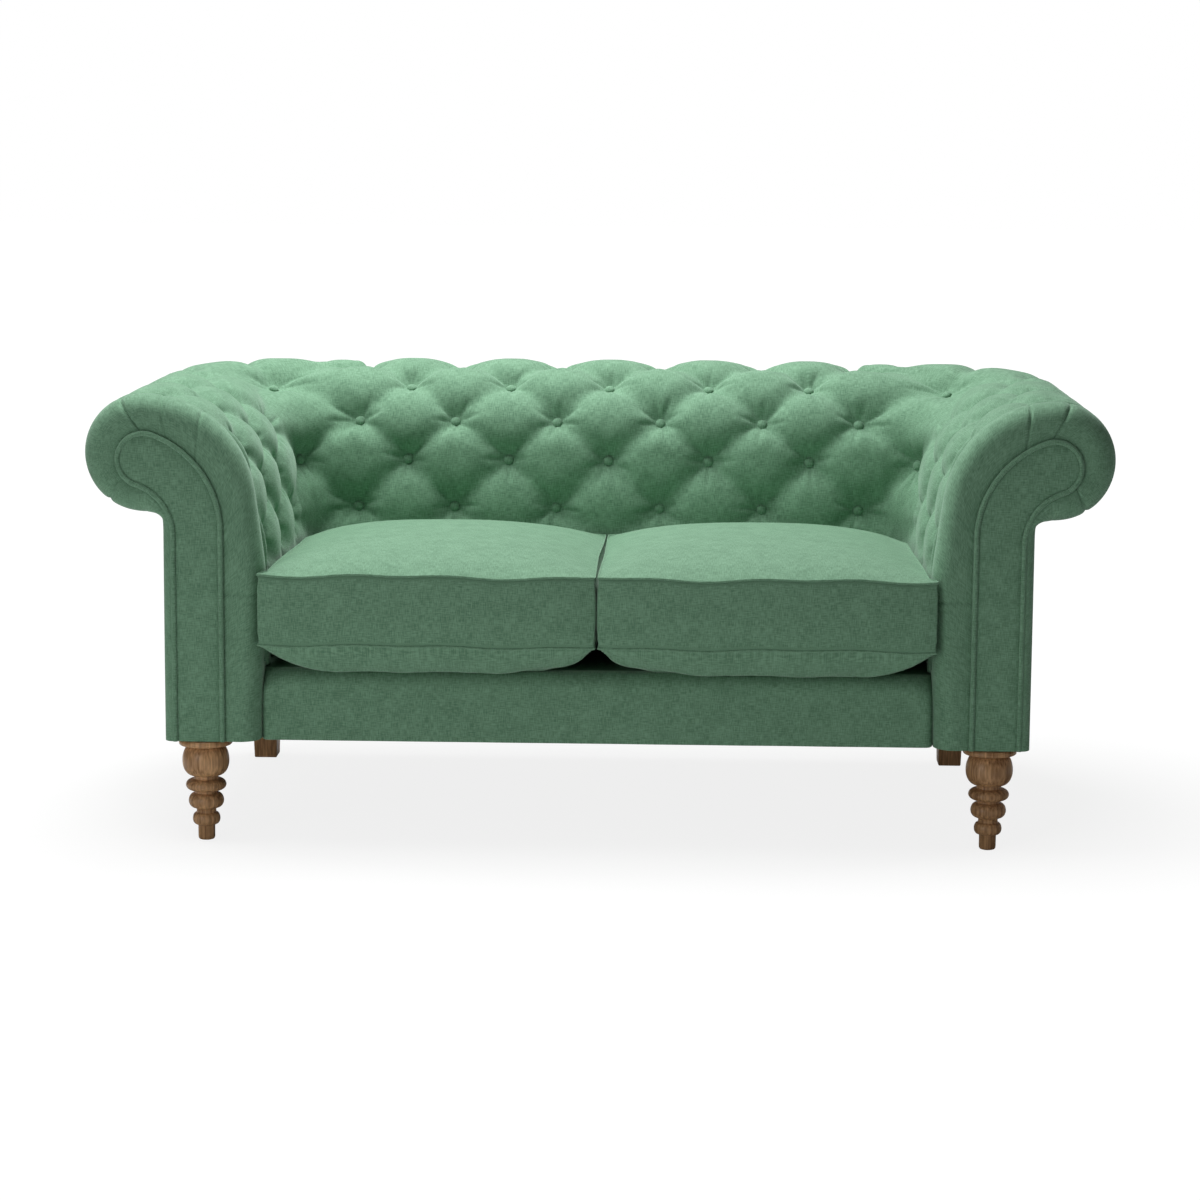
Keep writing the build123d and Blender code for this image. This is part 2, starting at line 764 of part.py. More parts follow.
# Tacking rails just above the seat that hold the lower edges of the webbing and the pads
tacking_x = arm_inner_x + tacking_inner_q
tacking_y = back_inner_y + tacking_inner_q
with BuildPart() as right_arm_tacking_rail:
    board(
        (tacking_x, post_back_y, tacking_z),
        (tacking_x + tacking_thickness, tacking_y, tacking_z + tacking_height),
    )
right_arm_tacking_rail.part.label = "right_arm_tacking_rail"
export_step(right_arm_tacking_rail.part, "parts/right_arm_tacking_rail.step")

with BuildPart() as left_arm_tacking_rail:
    mirror(right_arm_tacking_rail.part, about=Plane.YZ)
left_arm_tacking_rail.part.label = "left_arm_tacking_rail"
export_step(left_arm_tacking_rail.part, "parts/left_arm_tacking_rail.step")

with BuildPart() as back_tacking_rail:
    board(
        (-corner_post_x + corner_post_width / 2, tacking_y, tacking_z),
        (corner_post_x - corner_post_width / 2, tacking_y + tacking_thickness, tacking_z + tacking_height),
    )
back_tacking_rail.part.label = "back_tacking_rail"
export_step(back_tacking_rail.part, "parts/back_tacking_rail.step")


# Webbing strap from the tacking rail up to the inner edge of the top rail
def strap_sketch(plane):
    with BuildSketch(plane) as strap:
        with BuildLine():
            Polyline(
                (tacking_inner_q - webbing_thickness, tacking_z),
                (tacking_inner_q, tacking_z),
                (tacking_inner_q, wall_top_z),
                (top_rail_inner_q, top_rail_under_z),
                (top_rail_inner_q, top_rail_under_z + webbing_thickness),
                (tacking_inner_q - webbing_thickness, wall_top_z + webbing_thickness / 2),
                (tacking_inner_q - webbing_thickness, tacking_z),
            )
        make_face()
    return strap.sketch


with BuildPart() as right_arm_webbing:
    for step in range(arm_strap_count):
        strap_y = pivot_y - arm_even_columns[-1] - step * arm_strap_spacing
        extrude(strap_sketch(arm_plane(strap_y)), amount=webbing_width / 2, both=True)
right_arm_webbing.part.label = "right_arm_webbing"
export_step(right_arm_webbing.part, "parts/right_arm_webbing.step")

with BuildPart() as left_arm_webbing:
    mirror(right_arm_webbing.part, about=Plane.YZ)
left_arm_webbing.part.label = "left_arm_webbing"
export_step(left_arm_webbing.part, "parts/left_arm_webbing.step")

with BuildPart() as back_webbing:
    for step in range(back_strap_count):
        strap_x = (step - (back_strap_count - 1) / 2) * back_strap_spacing
        extrude(strap_sketch(back_plane(strap_x)), amount=webbing_width / 2, both=True)
back_webbing.part.label = "back_webbing"
export_step(back_webbing.part, "parts/back_webbing.step")

# Outer panels stretched over the frame below the roll, and the cloth under the base
with BuildPart() as right_outer_arm_panel:
    board(
        (panel_x, border_back_y + clearance, frame_z),
        (panel_x + panel_thickness, round_y, panel_top_z),
    )
right_outer_arm_panel.part.label = "right_outer_arm_panel"
export_step(right_outer_arm_panel.part, "parts/right_outer_arm_panel.step")

with BuildPart() as left_outer_arm_panel:
    mirror(right_outer_arm_panel.part, about=Plane.YZ)
left_outer_arm_panel.part.label = "left_outer_arm_panel"
export_step(left_outer_arm_panel.part, "parts/left_outer_arm_panel.step")


def rear_arc_point(side, angle, radius):
    return (side * (round_x + radius * cos(radians(angle))), round_y + radius * sin(radians(angle)))


def rear_line(radius):
    ThreePointArc(*[rear_arc_point(1, angle, radius) for angle in (0, mitre_angle, square_angle)])
    Line(rear_arc_point(1, square_angle, radius), rear_arc_point(-1, square_angle, radius))
    ThreePointArc(*[rear_arc_point(-1, angle, radius) for angle in (square_angle, mitre_angle, 0)])


inner_round = rear_corner_round - panel_thickness
with BuildPart() as outer_back_panel:
    with BuildSketch(Plane.XY.offset(frame_z)):
        with BuildLine():
            rear_line(rear_corner_round)
            Line(rear_arc_point(-1, 0, rear_corner_round), rear_arc_point(-1, 0, inner_round))
            rear_line(inner_round)
            Line(rear_arc_point(1, 0, inner_round), rear_arc_point(1, 0, rear_corner_round))
        make_face()
    extrude(amount=panel_top_z - frame_z)
outer_back_panel.part.label = "outer_back_panel"
export_step(outer_back_panel.part, "parts/outer_back_panel.step")

with BuildPart() as bottom_cloth:
    with BuildSketch(Plane.XY.offset(base_z)):
        with BuildLine():
            rear_line(inner_round)
            Polyline(
                rear_arc_point(-1, 0, inner_round),
                (-rail_outer_x, post_back_y),
                (-post_outer_x, post_front_y),
                (-post_inner_x, post_front_y),
                (-post_inner_x, apron_y),
                (post_inner_x, apron_y),
                (post_inner_x, post_front_y),
                (post_outer_x, post_front_y),
                (rail_outer_x, post_back_y),
                rear_arc_point(1, 0, inner_round),
            )
        make_face()
    extrude(amount=cloth_thickness)
    with Locations(*[(x, y, base_z) for x, y in leg_points]):
        Cylinder(
            nut_flange_radius + clearance,
            cloth_thickness,
            align=(Align.CENTER, Align.CENTER, Align.MIN),
            mode=Mode.SUBTRACT,
        )
bottom_cloth.part.label = "bottom_cloth"
export_step(bottom_cloth.part, "parts/bottom_cloth.step")

# Padded front border below the cushions
apron_half = arm_inner_x + border_flare - apron_end_gap
with BuildPart() as front_border:
    board((-apron_half, apron_y, frame_z), (apron_half, front_rail_y, frame_z + apron_height))
    front_face = front_border.faces().sort_by(Axis.Y)[0]
    fillet(front_face.edges().sort_by(Axis.Z)[-1], radius=apron_top_round)
    upright_edges = front_border.edges().filter_by(Axis.Z)
    end_edges = upright_edges.filter_by_position(Axis.Y, apron_y - clearance, apron_y + clearance)
    fillet(end_edges, radius=apron_end_round)
front_border.part.label = "front_border"
export_step(front_border.part, "parts/front_border.step")

# Serpentine seat springs from the front rail to the back rail, held by clips
spring_front_y = front_rail_y + rail_thickness / 2
spring_back_y = back_rail_y + rail_thickness / 2
bend_pitch = (spring_back_y - spring_front_y) / spring_bends
spring_xs = [(step - (spring_count - 1) / 2) * spring_spacing for step in range(spring_count)]
with BuildPart() as one_spring:
    with BuildLine(Plane.XY.offset(spring_z)) as spring_path:
        for bend in range(spring_bends):
            side = 1 if bend % 2 == 0 else -1
            here = spring_front_y + bend * bend_pitch
            Line((-side * spring_half_bar, here), (side * spring_half_bar, here))
            ThreePointArc(
                (side * spring_half_bar, here),
                (side * (spring_half_bar + bend_pitch / 2), here + bend_pitch / 2),
                (side * spring_half_bar, here + bend_pitch),
            )
        last = 1 if spring_bends % 2 == 0 else -1
        Line((-last * spring_half_bar, spring_back_y), (last * spring_half_bar, spring_back_y))
    with BuildSketch(Plane(origin=spring_path.line @ 0, z_dir=spring_path.line % 0)):
        Circle(spring_wire_radius)
    sweep(path=spring_path.line)

with BuildPart() as seat_springs:
    with Locations(*[(x, 0, 0) for x in spring_xs]):
        add(one_spring.part)
seat_springs.part.label = "seat_springs"
export_step(seat_springs.part, "parts/seat_springs.step")

with BuildPart() as spring_clips:
    with Locations(*[(x, y, rail_top_z) for x in spring_xs for y in (spring_front_y, spring_back_y)]):
        Box(clip_width, clip_length, clip_channel + clip_top, align=(Align.CENTER, Align.CENTER, Align.MIN))
        Box(
            clip_width,
            clip_channel,
            clip_channel,
            align=(Align.CENTER, Align.CENTER, Align.MIN),
            mode=Mode.SUBTRACT,
        )
spring_clips.part.label = "spring_clips"
export_step(spring_clips.part, "parts/spring_clips.step")

# Spring cover cloth and the deck pad over it
deck_half = arm_inner_x + wall_thickness
deck_back_y = back_inner_y + wall_thickness
with BuildPart() as spring_cover:
    board((-deck_half, front_rail_y, hessian_z), (deck_half, deck_back_y, deck_z))
spring_cover.part.label = "spring_cover"
export_step(spring_cover.part, "parts/spring_cover.step")

with BuildPart() as seat_deck:
    board((-deck_half, front_rail_y, deck_z), (deck_half, deck_back_y, deck_top_z))
seat_deck.part.label = "seat_deck"
export_step(seat_deck.part, "parts/seat_deck.step")


# Lower edge of a cushion section: rounded down at both ends and flat where it rests on the deck
def crowned_bottom(start, end, edge, low):
    drop = edge - low
    reach = (bottom_turn**2 + drop**2) / (2 * drop)
    half_angle = asin(bottom_turn / reach) / 2
    inset = bottom_turn - reach * sin(half_angle)
    lift = reach * (1 - cos(half_angle))
    ThreePointArc((end, edge), (end - inset, low + lift), (end - bottom_turn, low))
    Line((end - bottom_turn, low), (start + bottom_turn, low))
    ThreePointArc((start + bottom_turn, low), (start + inset, low + lift), (start, edge))


# A box-edged seat cushion with crowned faces and drawn-in sides, shrunk all round by the given amount
def cushion_solid(inset):
    left = seat_gap / 2 + inset
    right = arm_inner_x - cushion_side_gap - inset
    ear = right + cushion_ear
    front = -overall_depth / 2 + cushion_front_bow + inset
    bow = -overall_depth / 2 + inset
    ear_y = front + cushion_ear_start - 2 * inset
    side_y = front + cushion_ear_end - 2 * inset
    back = back_inner_y - cushion_back_gap - inset
    middle_x = (left + right) / 2
    middle_y = (front + back) / 2
    top = seam_top - inset
    bottom = seam_bottom + inset
    crown = seam_top + crown_top - inset
    sag = seat_bottom_z + inset
    near = bow - profile_margin
    far = back + profile_margin
    low_x = left - profile_margin
    high_x = ear + profile_margin
    with BuildPart() as cushion:
        with BuildSketch(Plane.XY.offset(sag)):
            with BuildLine():
                ThreePointArc((left, front), (middle_x, bow), (ear, front))
                Line((ear, front), (ear, ear_y))
                Line((ear, ear_y), (right, side_y))
                ThreePointArc(
                    (right, side_y),
                    (right - cushion_side_draw, middle_y),
                    (right, back - cushion_back_round),
                )
                ThreePointArc(
                    (right, back - cushion_back_round),
                    (
                        right - cushion_back_round * (1 - cos(radians(mitre_angle))),
                        back - cushion_back_round * (1 - sin(radians(mitre_angle))),
                    ),
                    (right - cushion_back_round, back),
                )
                Line((right - cushion_back_round, back), (left, back))
                Line((left, back), (left, front))
            make_face()
        extrude(amount=crown - sag)
        with BuildSketch(Plane.XZ.offset(overall_depth)):
            with BuildLine():
                Line((low_x, bottom), (low_x, top))
                ThreePointArc((low_x, top), ((low_x + high_x) / 2, crown), (high_x, top))
                Line((high_x, top), (high_x, bottom))
                crowned_bottom(low_x, high_x, bottom, sag)
            make_face()
        extrude(amount=-2 * overall_depth, mode=Mode.INTERSECT)
        with BuildSketch(Plane.YZ.offset(-half_width)):
            with BuildLine():
                Line((near, bottom), (near, top))
                ThreePointArc((near, top), ((near + far) / 2, crown), (far, top))
                Line((far, top), (far, bottom))
                crowned_bottom(near, far, bottom, sag)
            make_face()
        extrude(amount=overall_width, mode=Mode.INTERSECT)
    return cushion.part


with BuildPart() as right_cushion_cover:
    add(cushion_solid(0))
    add(cushion_solid(cover_thickness), mode=Mode.SUBTRACT)
right_cushion_cover.part.label = "right_cushion_cover"
export_step(right_cushion_cover.part, "parts/right_cushion_cover.step")

with BuildPart() as left_cushion_cover:
    mirror(right_cushion_cover.part, about=Plane.YZ)
left_cushion_cover.part.label = "left_cushion_cover"
export_step(left_cushion_cover.part, "parts/left_cushion_cover.step")

with BuildPart() as right_cushion_core:
    add(cushion_solid(cover_thickness + core_gap))
right_cushion_core.part.label = "right_cushion_core"
export_step(right_cushion_core.part, "parts/right_cushion_core.step")

with BuildPart() as left_cushion_core:
    mirror(right_cushion_core.part, about=Plane.YZ)
left_cushion_core.part.label = "left_cushion_core"
export_step(left_cushion_core.part, "parts/left_cushion_core.step")

# Turned front leg, bored from the top for its bolt; heights are shares of the leg height
ball_z = ball_share * base_z
ball_low_z = ball_low_share * base_z
ring_one_top_z = ring_one_top_share * base_z
ring_one_low_z = ring_one_low_share * base_z
ring_two_top_z = ring_two_top_share * base_z
ring_two_low_z = ring_two_low_share * base_z
ring_three_top_z = ring_three_top_share * base_z
ring_three_low_z = ring_three_low_share * base_z
flange_low_z = base_z - flange_height
ball_top_radius = ball_top_share * ball_radius
with BuildPart() as right_front_leg:
    with BuildSketch(Plane.XZ):
        with BuildLine():
            Line((0, 0), (foot_radius - foot_edge, 0))
            ThreePointArc(
                (foot_radius - foot_edge, 0),
                (
                    foot_radius - foot_edge * (1 - cos(radians(mitre_angle))),
                    foot_edge * (1 - sin(radians(mitre_angle))),
                ),
                (foot_radius, foot_edge),
            )
            Line((foot_radius, foot_edge), (foot_radius, ring_three_low_z))
            ThreePointArc(
                (foot_radius, ring_three_low_z),
                (ring_three_radius, (ring_three_low_z + ring_three_top_z) / 2),
                (lower_neck_radius, ring_three_top_z),
            )
            Line((lower_neck_radius, ring_three_top_z), (lower_neck_radius, ring_two_low_z))
            ThreePointArc(
                (lower_neck_radius, ring_two_low_z),
                (ring_two_radius, (ring_two_low_z + ring_two_top_z) / 2),
                (groove_radius, ring_two_top_z),
            )
            Line((groove_radius, ring_two_top_z), (groove_radius, ring_one_low_z))
            ThreePointArc(
                (groove_radius, ring_one_low_z),
                (ring_one_radius, (ring_one_low_z + ring_one_top_z) / 2),
                (neck_radius, ring_one_top_z),
            )
            Line((neck_radius, ring_one_top_z), (neck_radius, ball_low_z))
            ThreePointArc((neck_radius, ball_low_z), (ball_radius, ball_z), (ball_top_radius, flange_low_z))
            Line((ball_top_radius, flange_low_z), (flange_radius, flange_low_z))
            Line((flange_radius, flange_low_z), (flange_radius, base_z))
            Line((flange_radius, base_z), (0, base_z))
            Line((0, base_z), (0, 0))
        make_face()
    revolve(axis=Axis.Z)
    with Locations((0, 0, base_z)):
        Cylinder(
            bolt_radius + clearance,
            bolt_into_leg + clearance,
            align=(Align.CENTER, Align.CENTER, Align.MAX),
            mode=Mode.SUBTRACT,
        )
right_front_leg.part.position = (front_leg_x, front_leg_y, 0)
right_front_leg.part.label = "right_front_leg"
export_step(right_front_leg.part, "parts/right_front_leg.step")

with BuildPart() as left_front_leg:
    mirror(right_front_leg.part, about=Plane.YZ)
left_front_leg.part.label = "left_front_leg"
export_step(left_front_leg.part, "parts/left_front_leg.step")

# Plain tapered back leg, leaning backwards a little
with BuildPart() as right_back_leg:
    with BuildSketch(Plane.XY):
        with Locations((back_leg_x, back_leg_y + back_leg_rake)):
            Rectangle(back_leg_bottom_width, back_leg_bottom_length)
    with BuildSketch(Plane.XY.offset(base_z)):
        with Locations((back_leg_x, back_leg_y)):
            Rectangle(back_leg_top_width, back_leg_top_length)
    loft(ruled=True)
    with Locations((back_leg_x, back_leg_y, base_z)):
        Cylinder(
            bolt_radius + clearance,
            bolt_into_leg + clearance,
            align=(Align.CENTER, Align.CENTER, Align.MAX),
            mode=Mode.SUBTRACT,
        )
right_back_leg.part.label = "right_back_leg"
export_step(right_back_leg.part, "parts/right_back_leg.step")

with BuildPart() as left_back_leg:
    mirror(right_back_leg.part, about=Plane.YZ)
left_back_leg.part.label = "left_back_leg"
export_step(left_back_leg.part, "parts/left_back_leg.step")

# Leg bolts and the tee nuts they screw into
with BuildPart() as leg_bolts:
    with Locations(*[(x, y, base_z - bolt_into_leg) for x, y in leg_points]):
        Cylinder(bolt_radius, bolt_into_leg + bolt_into_block, align=(Align.CENTER, Align.CENTER, Align.MIN))
leg_bolts.part.label = "leg_bolts"
export_step(leg_bolts.part, "parts/leg_bolts.step")

with BuildPart() as tee_nuts:
    with Locations(*[(x, y, frame_z) for x, y in leg_points]):
        Cylinder(nut_flange_radius, nut_flange_height, align=(Align.CENTER, Align.CENTER, Align.MIN))
        Cylinder(nut_barrel_radius, nut_barrel_height, align=(Align.CENTER, Align.CENTER, Align.MIN))
        Cylinder(
            bolt_radius + clearance,
            nut_barrel_height,
            align=(Align.CENTER, Align.CENTER, Align.MIN),
            mode=Mode.SUBTRACT,
        )
tee_nuts.part.label = "tee_nuts"
export_step(tee_nuts.part, "parts/tee_nuts.step")
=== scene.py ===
import json
import math

import bmesh
import bpy
import numpy as np
from mathutils import Matrix, Vector


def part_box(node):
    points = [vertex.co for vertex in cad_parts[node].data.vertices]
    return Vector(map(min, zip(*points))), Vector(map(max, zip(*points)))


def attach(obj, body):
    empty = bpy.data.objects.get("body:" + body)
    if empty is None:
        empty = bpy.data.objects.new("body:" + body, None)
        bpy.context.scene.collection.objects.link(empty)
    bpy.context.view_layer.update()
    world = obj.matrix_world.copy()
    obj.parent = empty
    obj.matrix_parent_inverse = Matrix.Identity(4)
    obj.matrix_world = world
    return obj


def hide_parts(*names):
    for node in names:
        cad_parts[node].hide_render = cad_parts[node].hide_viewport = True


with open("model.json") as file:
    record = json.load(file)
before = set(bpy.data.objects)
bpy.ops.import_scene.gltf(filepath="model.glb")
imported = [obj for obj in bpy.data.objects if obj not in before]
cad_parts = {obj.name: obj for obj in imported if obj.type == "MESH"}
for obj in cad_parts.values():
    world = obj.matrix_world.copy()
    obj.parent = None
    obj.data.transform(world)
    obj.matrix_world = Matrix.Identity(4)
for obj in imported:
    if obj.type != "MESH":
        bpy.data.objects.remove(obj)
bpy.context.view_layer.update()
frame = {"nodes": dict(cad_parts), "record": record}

# Frame, springs and webbing: hardwood rails and posts glued and bolted together, steel springs in clips
# and woven straps. The cloth hides them all, so the solids stay as they are and take a plain finish.


class Wire:
    """A shader socket that can be added, multiplied and so on inside its own node tree."""

    def __init__(self, tree, out=None):
        self.tree = tree
        self.out = out

    def make(self, kind, settings, inputs, pick=0):
        node = self.tree.nodes.new(kind)
        for key, value in settings.items():
            setattr(node, key, value)
        for key, value in inputs.items():
            if isinstance(value, Wire):
                self.tree.links.new(value.out, node.inputs[key])
            else:
                node.inputs[key].default_value = value
        return Wire(self.tree, node.outputs[pick] if node.outputs else None)

    def math(self, operation, first, second):
        return self.make("ShaderNodeMath", {"operation": operation}, {0: first, 1: second})

    def __add__(self, other):
        return self.math("ADD", self, other)

    __radd__ = __add__

    def __mul__(self, other):
        return self.math("MULTIPLY", self, other)

    __rmul__ = __mul__

    def __sub__(self, other):
        return self.math("SUBTRACT", self, other)

    def __rsub__(self, other):
        return self.math("SUBTRACT", other, self)

    def __truediv__(self, other):
        return self.math("DIVIDE", self, other)

    def __rtruediv__(self, other):
        return self.math("DIVIDE", other, self)

    def __pow__(self, other):
        return self.math("POWER", self, other)


OBJECT_PLACE = 3
MIXED_COLOUR = 2


def new_material(name):
    material = bpy.data.materials.new(name)
    material.use_nodes = True
    material.node_tree.nodes.clear()
    return material, Wire(material.node_tree)


def split(g, vector):
    return [g.make("ShaderNodeSeparateXYZ", {}, {0: vector}, pick=k) for k in range(3)]


def join(g, x, y, z):
    return g.make("ShaderNodeCombineXYZ", {}, {0: x, 1: y, 2: z})


def object_place(g):
    return g.make("ShaderNodeTexCoord", {}, {}, pick=OBJECT_PLACE)


def noise(g, vector, scale, detail=2.0):
    return g.make("ShaderNodeTexNoise", {}, {"Vector": vector, "Scale": scale, "Detail": detail})


def spread(g, value, low, high, start=0.0, end=1.0):
    """The value moved from one range to another and held inside it."""
    sockets = {"Value": value, "From Min": low, "From Max": high, "To Min": start, "To Max": end}
    return g.make("ShaderNodeMapRange", {"clamp": True}, sockets)


def ramp(g, value, low, high, dark, light):
    sockets = {0: spread(g, value, low, high), 6: (*dark, 1.0), 7: (*light, 1.0)}
    return g.make("ShaderNodeMix", {"data_type": "RGBA"}, sockets, pick=MIXED_COLOUR)


def bump(g, height, strength, distance):
    return g.make("ShaderNodeBump", {}, {"Strength": strength, "Distance": distance, "Height": height})


def shade(g, sockets):
    shader = g.make("ShaderNodeBsdfPrincipled", {}, sockets)
    g.make("ShaderNodeOutputMaterial", {}, {"Surface": shader})


def wood_material(name, dark, light, rough):
    material, g = new_material(name)
    x, y, z = split(g, object_place(g))
    grain = noise(g, join(g, x * 260.0, y * 260.0, z * 14.0), 1.0, 4.0)
    broad = noise(g, join(g, x * 40.0, y * 40.0, z * 4.0), 1.0)
    sockets = {
        "Base Color": ramp(g, grain * 0.65 + broad * 0.35, 0.34, 0.66, dark, light),
        "Roughness": rough,
        "Specular IOR Level": 0.35,
        "Normal": bump(g, grain, 0.15, 0.0005),
    }
    shade(g, sockets)
    return material


def plain_material(name, colour, rough, metal=0.0):
    material, g = new_material(name)
    mottled = noise(g, object_place(g), 90.0)
    dark = tuple(c * 0.88 for c in colour)
    light = tuple(min(1.0, c * 1.1) for c in colour)
    colours = ramp(g, mottled, 0.3, 0.7, dark, light)
    shade(g, {"Base Color": colours, "Roughness": rough, "Metallic": metal})
    return material


HIDDEN_FINISH = {
    "frame_wood": wood_material("frame_wood", (0.36, 0.25, 0.14), (0.55, 0.41, 0.26), 0.7),
    "spring_steel": plain_material("spring_steel", (0.42, 0.42, 0.43), 0.4, 1.0),
    "bolt_steel": plain_material("zinc", (0.55, 0.55, 0.55), 0.35, 1.0),
    "webbing": plain_material("webbing", (0.35, 0.30, 0.20), 0.85),
}
for entry in frame["record"]["subparts"]:
    if entry["material_slot"] in HIDDEN_FINISH:
        solid = frame["nodes"][entry["node"]].data
        solid.materials.clear()
        solid.materials.append(HIDDEN_FINISH[entry["material_slot"]])

# Buttoned pads of the back and arms: stuffing under green linen, drawn in along diamond folds by the buttons.
# One section runs up the inner wall, over the shoulder and round the roll, where straight pleats take over.

SOFA = "sofa"
GREEN_DARK = (0.110, 0.225, 0.138)
GREEN_LIGHT = (0.205, 0.375, 0.245)
THREAD = 0.0013
THREAD_RUN = 0.013


def cloth_material(name, dark, light):
    material, g = new_material(name)
    x, y, _ = split(g, g.make("ShaderNodeUVMap", {"uv_map": "weave"}, {}))
    warp = noise(g, join(g, x / THREAD, y / THREAD_RUN, 0.0), 1.0)
    weft = noise(g, join(g, x / THREAD_RUN, y / THREAD, 7.0), 1.0)
    slub = noise(g, join(g, x, y, 3.0), 30.0)
    thread = warp * 0.5 + weft * 0.5
    sockets = {
        "Base Color": ramp(g, thread * 0.85 + slub * 0.15, 0.415, 0.585, dark, light),
        "Roughness": 0.92,
        "Specular IOR Level": 0.18,
        "Sheen Weight": 0.35,
        "Sheen Roughness": 0.45,
        "Sheen Tint": (0.75, 0.95, 0.82, 1.0),
        "Normal": bump(g, thread, 0.5, 0.0009),
    }
    shade(g, sockets)
    return material


green = cloth_material("green_linen", GREEN_DARK, GREEN_LIGHT)

HALF_WIDTH = 0.875
DEPTH = 0.98
HEIGHT = 0.775
ROLL_R = 0.101
REACH = 0.205
SHOULDER_R = 0.189
CORNER = 0.045
PANEL_Q = 0.172
ARM_X = HALF_WIDTH - ROLL_R - REACH
BACK_Y = DEPTH / 2 - ROLL_R - REACH
FACING_Y = -DEPTH / 2 + 0.014
BORDER_BACK_Y = FACING_Y + 0.058
ROLL_Z = HEIGHT - ROLL_R
ROLL_LOW_Z = ROLL_Z - ROLL_R
SHOULDER_Z = HEIGHT - SHOULDER_R
PIVOT_X = ARM_X - CORNER
PIVOT_Y = BACK_Y - CORNER


def add_object(name, verts, faces, uv, material):
    mesh = bpy.data.meshes.new(name)
    mesh.from_pydata([tuple(v) for v in verts], [], faces)
    layer = mesh.uv_layers.new(name="weave")
    loops = np.empty(len(mesh.loops), dtype=np.int32)
    mesh.loops.foreach_get("vertex_index", loops)
    layer.data.foreach_set("uv", np.asarray(uv, dtype=np.float32)[loops].ravel())
    mesh.shade_smooth()
    mesh.materials.append(material)
    mesh.update()
    obj = bpy.data.objects.new(name, mesh)
    bpy.context.scene.collection.objects.link(obj)
    return obj


def grid_faces(rows, columns, flip=False, base=0, close=False):
    faces = []
    last = columns if close else columns - 1
    for i in range(rows - 1):
        for j in range(last):
            k = (j + 1) % columns
            a, b = base + i * columns + j, base + i * columns + k
            c, d = base + (i + 1) * columns + k, base + (i + 1) * columns + j
            faces.append((a, d, c, b) if flip else (a, b, c, d))
    return faces


def grid_object(name, points, uv, flip, material=green, close=False):
    """A smooth piece over a grid of points, closed round its columns where it is a tube."""
    rows, columns = points.shape[:2]
    faces = grid_faces(rows, columns, flip, 0, close)
    return add_object(name, points.reshape(-1, 3), faces, uv.reshape(-1, 2), material)


def flat_map(first, second):
    return np.stack(np.meshgrid(first, second, indexing="ij"), axis=2)


def lengths(points):
    steps = np.linalg.norm(np.diff(points, axis=0), axis=1)
    return np.concatenate([[0.0], np.cumsum(steps)])


def smooth_step(low, high, x):
    t = np.clip((x - low) / (high - low), 0.0, 1.0)
    return t * t * (3 - 2 * t)


def soft_noise(x, y, seed):
    rng = np.random.default_rng(seed)
    total = np.zeros_like(x)
    for _ in range(10):
        k = rng.uniform(12, 60, 2) * rng.choice([-1, 1], 2)
        total += np.sin(k[0] * x + k[1] * y + rng.uniform(0, 6.28)) / 10
    return total


def mirrored(points):
    out = np.array(points, dtype=float)
    out[..., 0] *= -1
    return out


def finish_piece(obj, body, nodes):
    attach(obj, body)
    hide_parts(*nodes)


def on_shoulder(angle):
    turn = math.radians(angle)
    return (REACH - SHOULDER_R * math.cos(turn), SHOULDER_Z + SHOULDER_R * math.sin(turn))


def on_roll(angle):
    turn = math.radians(angle)
    return (REACH + ROLL_R * math.cos(turn), ROLL_Z + ROLL_R * math.sin(turn))


WALL = [(0.0, 0.303), (0.0, 0.38), (0.0, 0.43), (0.0005, 0.46)]
WALL += [(0.002, 0.505), (0.0065, 0.55), (0.0125, 0.584)]


def crest_line(spacing):
    """Even points up the section, with the run to each of them and the way out of the cloth."""
    points = WALL + [on_shoulder(a) for a in np.arange(6, 90, 2)]
    points += [on_roll(a) for a in np.arange(90, -92, -2.5)] + [(PANEL_Q, ROLL_LOW_Z)]
    points = np.array(points)
    run = lengths(points)
    at = np.linspace(0, run[-1], int(run[-1] / spacing) + 1)
    line = np.stack([np.interp(at, run, points[:, k]) for k in range(2)], axis=1)
    for _ in range(3):
        line[1:-1] = (line[:-2] + 2 * line[1:-1] + line[2:]) / 4
    tangent = np.gradient(line, axis=0)
    tangent /= np.linalg.norm(tangent, axis=1)[:, None]
    return at, line, np.stack([-tangent[:, 1], tangent[:, 0]], axis=1)


SPACING = 0.0035
ROW_PITCH = 0.082
run_v, crest, outward = crest_line(SPACING)
row_marks = [(0.002, 0.505), (0.0145, 0.598), on_shoulder(29.8), on_shoulder(60.8), on_shoulder(88.0)]
row_run = [run_v[np.argmin(np.hypot(*(crest - np.array(p)).T))] for p in row_marks]
row_known = [row_run[0] - ROW_PITCH, *row_run, row_run[-1] + ROW_PITCH]
t_of_v = np.interp(run_v, row_known, [5, 4, 3, 2, 1, 0, -1])
t_of_v = np.where(run_v < row_known[0], 5 + (row_known[0] - run_v) / ROW_PITCH, t_of_v)
t_of_v = np.where(run_v > row_known[-1], -1 - (run_v - row_known[-1]) / ROW_PITCH, t_of_v)

CORNER_RUN = 0.106
MITRE = math.pi / 4
FRONT_RUN = 0.565
ARM_EVEN = (0.470, 0.280, 0.090)
ARM_ODD = (0.375, 0.185)
BACK_EVEN = (0.478, 0.294, 0.099)
BACK_ODD = (0.384, 0.191, 0.0)


def corner_point(direction):
    return (PIVOT_X + CORNER * direction[0], PIVOT_Y + CORNER * direction[1])


